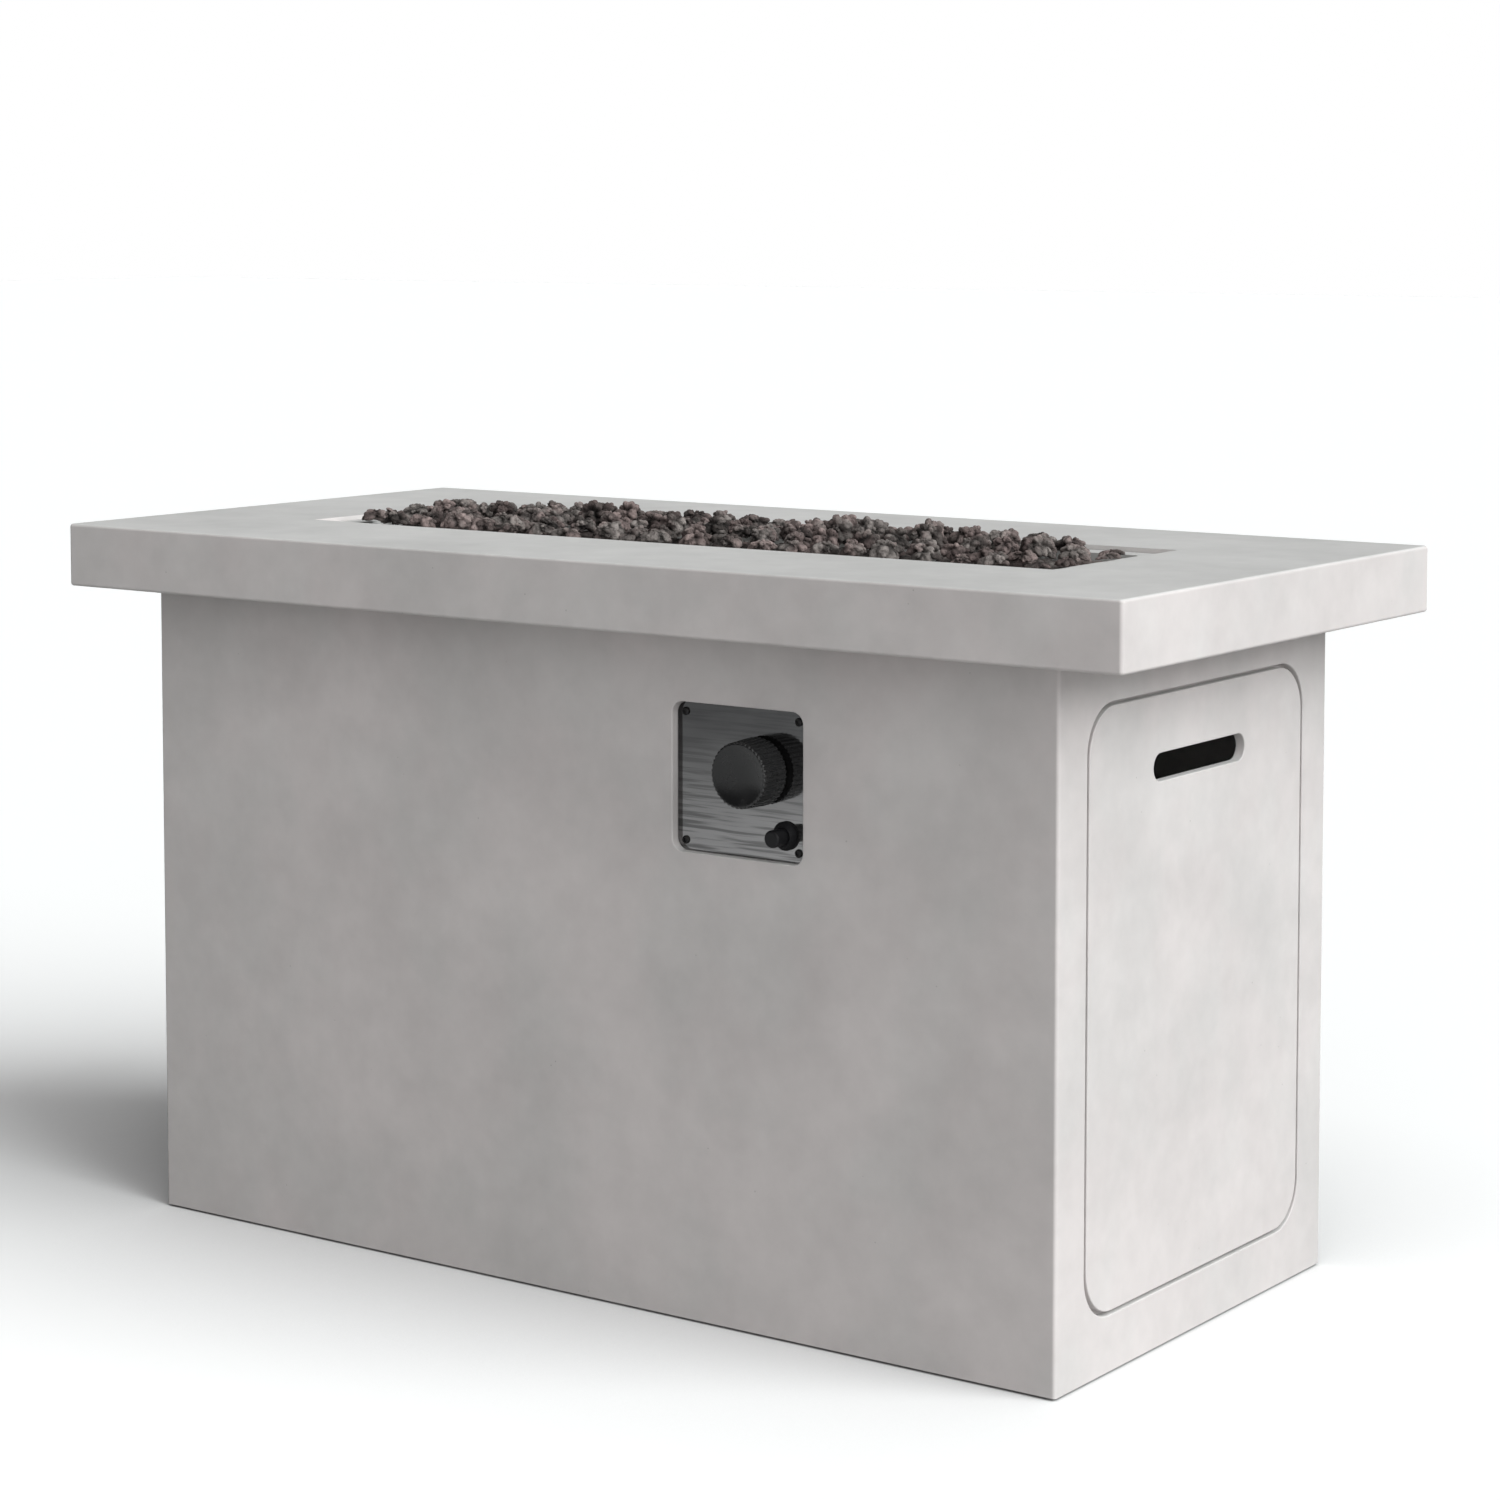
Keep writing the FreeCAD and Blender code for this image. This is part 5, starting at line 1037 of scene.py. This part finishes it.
@dataclass
class Knob(SubAssembly):
    """The fluted knob: its flutes run out over a rounded rim, and its face is one smooth dish.

    Attributes:
        node: The CAD node.
        radius: Radius at the back, over the flutes.
        rim_radius: Radius at the front, over the rim.
        rim_round: Radius of the rim's rounding.
        dish_depth: Depth of the dish at its middle.
        dish_power: How much flatter the dish is in its middle than at its edge.
        dish_rings: Rings of faces across the dish.
        rim_rings: Rings of faces over the rim.
        flutes: Number of flutes.
        flute_radius: Radius of a flute's round bottom.
        flute_depth: Depth of a flute.
        flute_fade: How soon the flutes end on the rim's rounding: lower values end them later.
        steps: Points across one flute and its ridge.
        wall: Thickness of the side.
        front_wall: Thickness of the front at its rim, which is more than the dish is deep.
        hub_radius: Radius of the hub inside.
        hub_back: How far the hub stays in from the back.
        bore_radius: Radius of the bore for the valve's stem.
        crease: Degrees above which an edge stays sharp.
    """

    node: str = "control_knob"
    radius: float = 0.0272
    rim_radius: float = 0.0262
    rim_round: float = 0.002
    dish_depth: float = 0.0039
    dish_power: float = 2.1
    dish_rings: int = 18
    rim_rings: int = 7
    flutes: int = 40
    flute_radius: float = 0.0016
    flute_depth: float = 0.0008
    flute_fade: float = 0.5
    steps: int = 12
    wall: float = 0.0034
    front_wall: float = 0.0045
    hub_radius: float = 0.0075
    hub_back: float = 0.0038
    bore_radius: float = 0.00306
    crease: float = 32.0

    @property
    def face_radius(self) -> float:
        """Return the radius at which the dish meets the rim."""
        return self.rim_radius - self.rim_round

    def profile(self, length: float) -> list[tuple[float, float, float]]:
        """List the rings from the bore round the back and over the rim to the middle of the dish.

        Args:
            length: Length of the knob.

        Returns:
            Each ring's radius, its height above the knob's back and the share of the flutes' depth there.
        """
        inside = length - self.front_wall
        rings = [(self.bore_radius, inside, 0.0), (self.bore_radius, self.hub_back, 0.0),
                 (self.hub_radius, self.hub_back, 0.0), (self.hub_radius, inside, 0.0),
                 (self.rim_radius - self.wall, inside, 0.0), (self.radius - self.wall, 0.0, 0.0),
                 (self.radius, 0.0, 1.0)]
        for step in range(self.rim_rings + 1):
            turn = step * math.pi / 2 / self.rim_rings
            rings.append((self.face_radius + self.rim_round * math.cos(turn),
                          length - self.rim_round * (1.0 - math.sin(turn)),
                          math.cos(turn) ** self.flute_fade))
        for step in range(1, self.dish_rings):
            share = 1.0 - step / self.dish_rings
            depth = self.dish_depth * (1.0 - share ** self.dish_power)
            rings.append((self.face_radius * share, length - depth, 0.0))
        return rings

    def dip(self, step: int) -> float:
        """Return how deep a flute is at a point round the knob."""
        pitch = 2 * math.pi * self.radius / self.flutes
        off_middle = abs((step / self.steps + 0.5) % 1.0 - 0.5) * pitch
        bottom = math.sqrt(max(0.0, self.flute_radius ** 2 - off_middle ** 2))
        return max(0.0, bottom - self.flute_radius + self.flute_depth)

    def build(self) -> None:
        """Replace the node's plain knob."""
        low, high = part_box(self.node)
        axis = ((low.x + high.x) / 2, (low.z + high.z) / 2)
        place = placed_along(Vector((0.0, -1.0, 0.0)), (axis[0], high.y, axis[1]))
        dips = [self.dip(step) for step in range(self.flutes * self.steps)]
        rows = [ring(place, [radius - fluted * dip for dip in dips], height)
                for radius, height, fluted in self.profile(high.y - low.y)]
        # its dust colour also paints the grip lighter: painted light
        plastic = GripPlastic("knob_plastic", (0.007, 0.007, 0.0075), (0.04, 0.04, 0.04), roughness=0.2,
                              grain=1300.0, depth=0.00004, dust_share=0.2, gloss=0.32, centre=axis,
                              face_radius=self.face_radius)
        piece = new_piece("dished_knob", [point for row in rows for point in row], skin(rows),
                          plastic.make(), self.crease)
        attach(piece, "knob")
        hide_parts(self.node)
        LOG.info("%s stands for %s", piece.name, self.node)


@dataclass
class PushSpring(SubAssembly):
    """A coil spring behind a push control, rebuilt from the node's wire as one piece that keeps its length.

    Attributes:
        node: The CAD node.
        joint: The joint that presses it; not used.
        travel: How far the joint goes; not used.
        crease: Degrees above which an edge stays sharp.
    """

    node: str = ""
    joint: str = ""
    travel: float = 0.0
    crease: float = 60.0

    def build(self) -> None:
        """Take over the node's wire as a piece on the root body."""
        low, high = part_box(self.node)
        mesh = merged_mesh(self.nodes[self.node])
        mesh.verts.index_update()
        points = [vertex.co.copy() for vertex in mesh.verts]
        faces = [[vertex.index for vertex in face.verts] for face in mesh.faces]
        mesh.free()
        piece = new_piece(f"coiled_{self.node}", points, faces, SPRING_STEEL.make(), self.crease)
        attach(piece, "root")
        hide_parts(self.node)
        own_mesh(piece)
        LOG.info("%s stands for %s", piece.name, self.node)


@dataclass
class Controls(SubAssembly):
    """The control plate with its knob, valve and igniter.

    Attributes:
        knob_travel: How far the knob is pushed in.
        button_travel: How far the igniter's button is pushed in.
    """

    knob_travel: float = 0.004
    button_travel: float = 0.005

    def build(self) -> None:
        """Dress the controls and replace the plate's screws."""
        low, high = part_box("control_plate")
        self.dress(BrushedPlate("brushed_plate", low.x, high.x, low.z, high.z).make(), "control_plate")
        self.dress(BLACK_PLASTIC.make(), "igniter_housing", "igniter_nut")
        self.dress(BUTTON_PLASTIC.make(), "igniter_button")
        self.dress(NICKEL.make(), "valve_stem", "valve_collar")
        PushSpring(self.nodes, "valve_spring", "knob_push", self.knob_travel).build()
        PushSpring(self.nodes, "igniter_spring", "igniter_push", self.button_travel).build()
        Knob(self.nodes).build()
        SocketScrews(self.nodes, "plate_screws", "dark_screw", BLACK_SCREW).build()


@dataclass
class CylinderBay(SubAssembly):
    """What the base hides: the floor, the cylinder's ring, the heat shield, brackets, vents and feet."""

    def build(self) -> None:
        """Dress the bay's nodes and replace its screws."""
        self.dress(GALVANISED.make(), "floor_plate", "tank_ring", "heat_shield", "corner_brackets",
                   "strike_plates", "air_mixer", "lower_vent_grille", "upper_vent_grille")
        self.dress(NICKEL.make(), "door_magnets")
        self.dress(RUBBER.make(), "base_feet")
        for node in ("bracket_screws", "shield_screws", "vent_screws"):
            SocketScrews(self.nodes, node).build()


# Studio


@dataclass(frozen=True)
class SoftSun:
    """A far, soft light.

    Attributes:
        name: The lamp's name.
        power: Its strength.
        height: Degrees that it stands above the floor.
        turn: Degrees from +X towards +Y.
        spread: Degrees that it spans.
        tint: Its colour.
    """

    name: str
    power: float
    height: float
    turn: float
    spread: float
    tint: Colour = (1.0, 1.0, 1.0)

    def make(self) -> None:
        """Put the lamp into the scene."""
        data = bpy.data.lights.new(self.name, "SUN")
        data.energy = self.power
        data.color = self.tint
        data.angle = math.radians(self.spread)
        lamp = bpy.data.objects.new(self.name, data)
        height, turn = math.radians(self.height), math.radians(self.turn)
        towards = Vector((math.cos(height) * math.cos(turn), math.cos(height) * math.sin(turn),
                          math.sin(height)))
        lamp.rotation_euler = towards.to_track_quat("Z", "Y").to_euler()
        bpy.context.scene.collection.objects.link(lamp)


@dataclass(frozen=True)
class SoftCard:
    """A near round card of light, brighter on what is close to it.

    Attributes:
        name: The lamp's name.
        power: Its power in watts.
        place: Where its middle is.
        aim: The point that it faces.
        radius: Its radius.
    """

    name: str
    power: float
    place: Place
    aim: Place
    radius: float

    def make(self) -> None:
        """Put the lamp into the scene."""
        data = bpy.data.lights.new(self.name, "AREA")
        data.shape = "DISK"
        data.size = 2.0 * self.radius
        data.energy = self.power
        lamp = bpy.data.objects.new(self.name, data)
        lamp.location = self.place
        lamp.rotation_euler = (Vector(self.place) - Vector(self.aim)).to_track_quat("Z", "Y").to_euler()
        lamp.visible_camera = False
        bpy.context.scene.collection.objects.link(lamp)


@dataclass
class Studio:
    """A white studio with a soft key light from the door's side, seen from the photo's viewpoint.

    Attributes:
        camera_place: Where the camera stands.
        camera_turn: Degrees that it is turned from looking along +Y towards -X.
        camera_pitch: Degrees that it looks down.
        lens: Focal length in millimetres.
        sensor: Width of the sensor in millimetres.
        shift: Vertical shift, as a share of the picture's width.
        key: The key light, past the door's end.
        fill: The fill light, in front of the corner between the door and the control plate.
        card: The card near that corner.
        sky_level: Brightness of the even light from all round.
        dark_level: How bright the ceiling and the side without lamps are in mirrored views.
        ceiling_edge: Upward parts of the directions between which the ceiling begins.
        side_edge: Parts along X of the directions between which the side without lamps ends.
        floor_size: Half width of the floor.
        floor_tone: The floor as it is seen.
        floor_bounce: The floor as it lights the table.
        floor_roughness: How matt the floor is.
        floor_grain: Patches of the floor's faint grain per metre.
        grain_depth: How deep that grain is.
        contact_reach: How far the painted soft shade round the table's foot goes.
        contact_share: How strong that shade is.
    """

    camera_place: Place = (1.813, -2.503, 0.891)
    camera_turn: float = 35.54
    camera_pitch: float = 4.34
    lens: float = 87.07
    sensor: float = 36.0
    shift: float = -0.18
    key: SoftSun = SoftSun("key", power=2.44, height=36.0, turn=3.0, spread=50.0, tint=(0.966, 1.0, 1.0))
    fill: SoftSun = SoftSun("fill", power=2.12, height=40.0, turn=-30.0, spread=90.0)
    card: SoftCard = SoftCard("card", power=4.2, place=(1.2, -2.2, 0.5), aim=(0.2, 0.0, 0.25), radius=0.6)
    sky_level: float = 0.03
    dark_level: float = 0.12
    ceiling_edge: tuple[float, float] = (0.0, 0.22)
    side_edge: tuple[float, float] = (-0.95, -0.35)
    floor_size: float = 30.0
    floor_tone: Colour = (1.1, 1.1, 1.1)
    floor_bounce: Colour = (0.35, 0.35, 0.35)
    floor_roughness: float = 0.9
    floor_grain: float = 40.0
    grain_depth: float = 0.0001
    contact_reach: float = 0.5
    contact_share: float = 0.55

    def set_camera(self) -> None:
        """Place the camera."""
        data = bpy.data.cameras.new("view")
        data.sensor_width = self.sensor
        data.lens = self.lens
        data.shift_y = self.shift
        camera = bpy.data.objects.new("view", data)
        camera.location = self.camera_place
        camera.rotation_euler = (math.radians(90.0 - self.camera_pitch), 0.0, math.radians(self.camera_turn))
        bpy.context.scene.collection.objects.link(camera)
        bpy.context.scene.camera = camera

    def set_world(self) -> None:
        """Make the faint even light, and a dark ceiling and a dark far side in mirrored views."""
        world = bpy.data.worlds.new("studio")
        bpy.context.scene.world = world
        recipe = Recipe(world)
        direction = recipe.node("ShaderNodeTexCoord", output="Generated")
        up, along = recipe.part_of(direction, "Z"), recipe.part_of(direction, "X")
        dark = up.rise(*self.ceiling_edge).most(1 - along.rise(*self.side_edge))
        mirrored = 1 - (1 - self.dark_level) * dark
        straight = recipe.node("ShaderNodeLightPath", output="Is Camera Ray")
        strength = straight.most(recipe.seen() * mirrored).most(self.sky_level)
        sky = recipe.node("ShaderNodeBackground", {}, {"Color": (1.0, 1.0, 1.0, 1.0), "Strength": strength})
        recipe.node("ShaderNodeOutputWorld", {}, {"Surface": sky}, None)

    def set_floor(self) -> None:
        """Lay the pale floor, with a painted shade round the table's foot."""
        recipe = Recipe.for_material("studio_floor")
        fine = recipe.clouds(self.floor_grain, detail=2.0)
        # painted shade: ambient occlusion darkens the floor's colour near the table
        open_share = recipe.node("ShaderNodeAmbientOcclusion", {"samples": 8},
                                 {"Distance": self.contact_reach}, "AO")
        shaded = recipe.shade(self.floor_tone, 1 - self.contact_share * (1 - open_share))
        colour = recipe.blend(recipe.seen(), self.floor_bounce, shaded)
        relief = recipe.relief(fine, self.grain_depth, strength=0.1)
        material = recipe.finish(colour, self.floor_roughness, relief, Specular_IOR_Level=0.0)
        size = self.floor_size
        floor = new_piece("floor", [(-size, -size, 0.0), (size, -size, 0.0), (size, size, 0.0),
                                    (-size, size, 0.0)], [(0, 1, 2, 3)], material)

    def build(self) -> None:
        """Set up the camera, the lights and the floor."""
        self.set_camera()
        self.key.make()
        self.fill.make()
        self.card.make()
        self.set_world()
        self.set_floor()
        bpy.context.scene.view_settings.view_transform = "Standard"


def main() -> None:
    """Load the CAD frame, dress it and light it."""
    logging.basicConfig(level=logging.INFO, format="%(message)s")
    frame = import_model()
    Studio().build()
    for part in (Shell, LavaBed, Burner, Controls, CylinderBay):
        part(frame["nodes"]).build()
        LOG.info("%s is done", part.__name__)


if __name__ == "__main__":
    main()
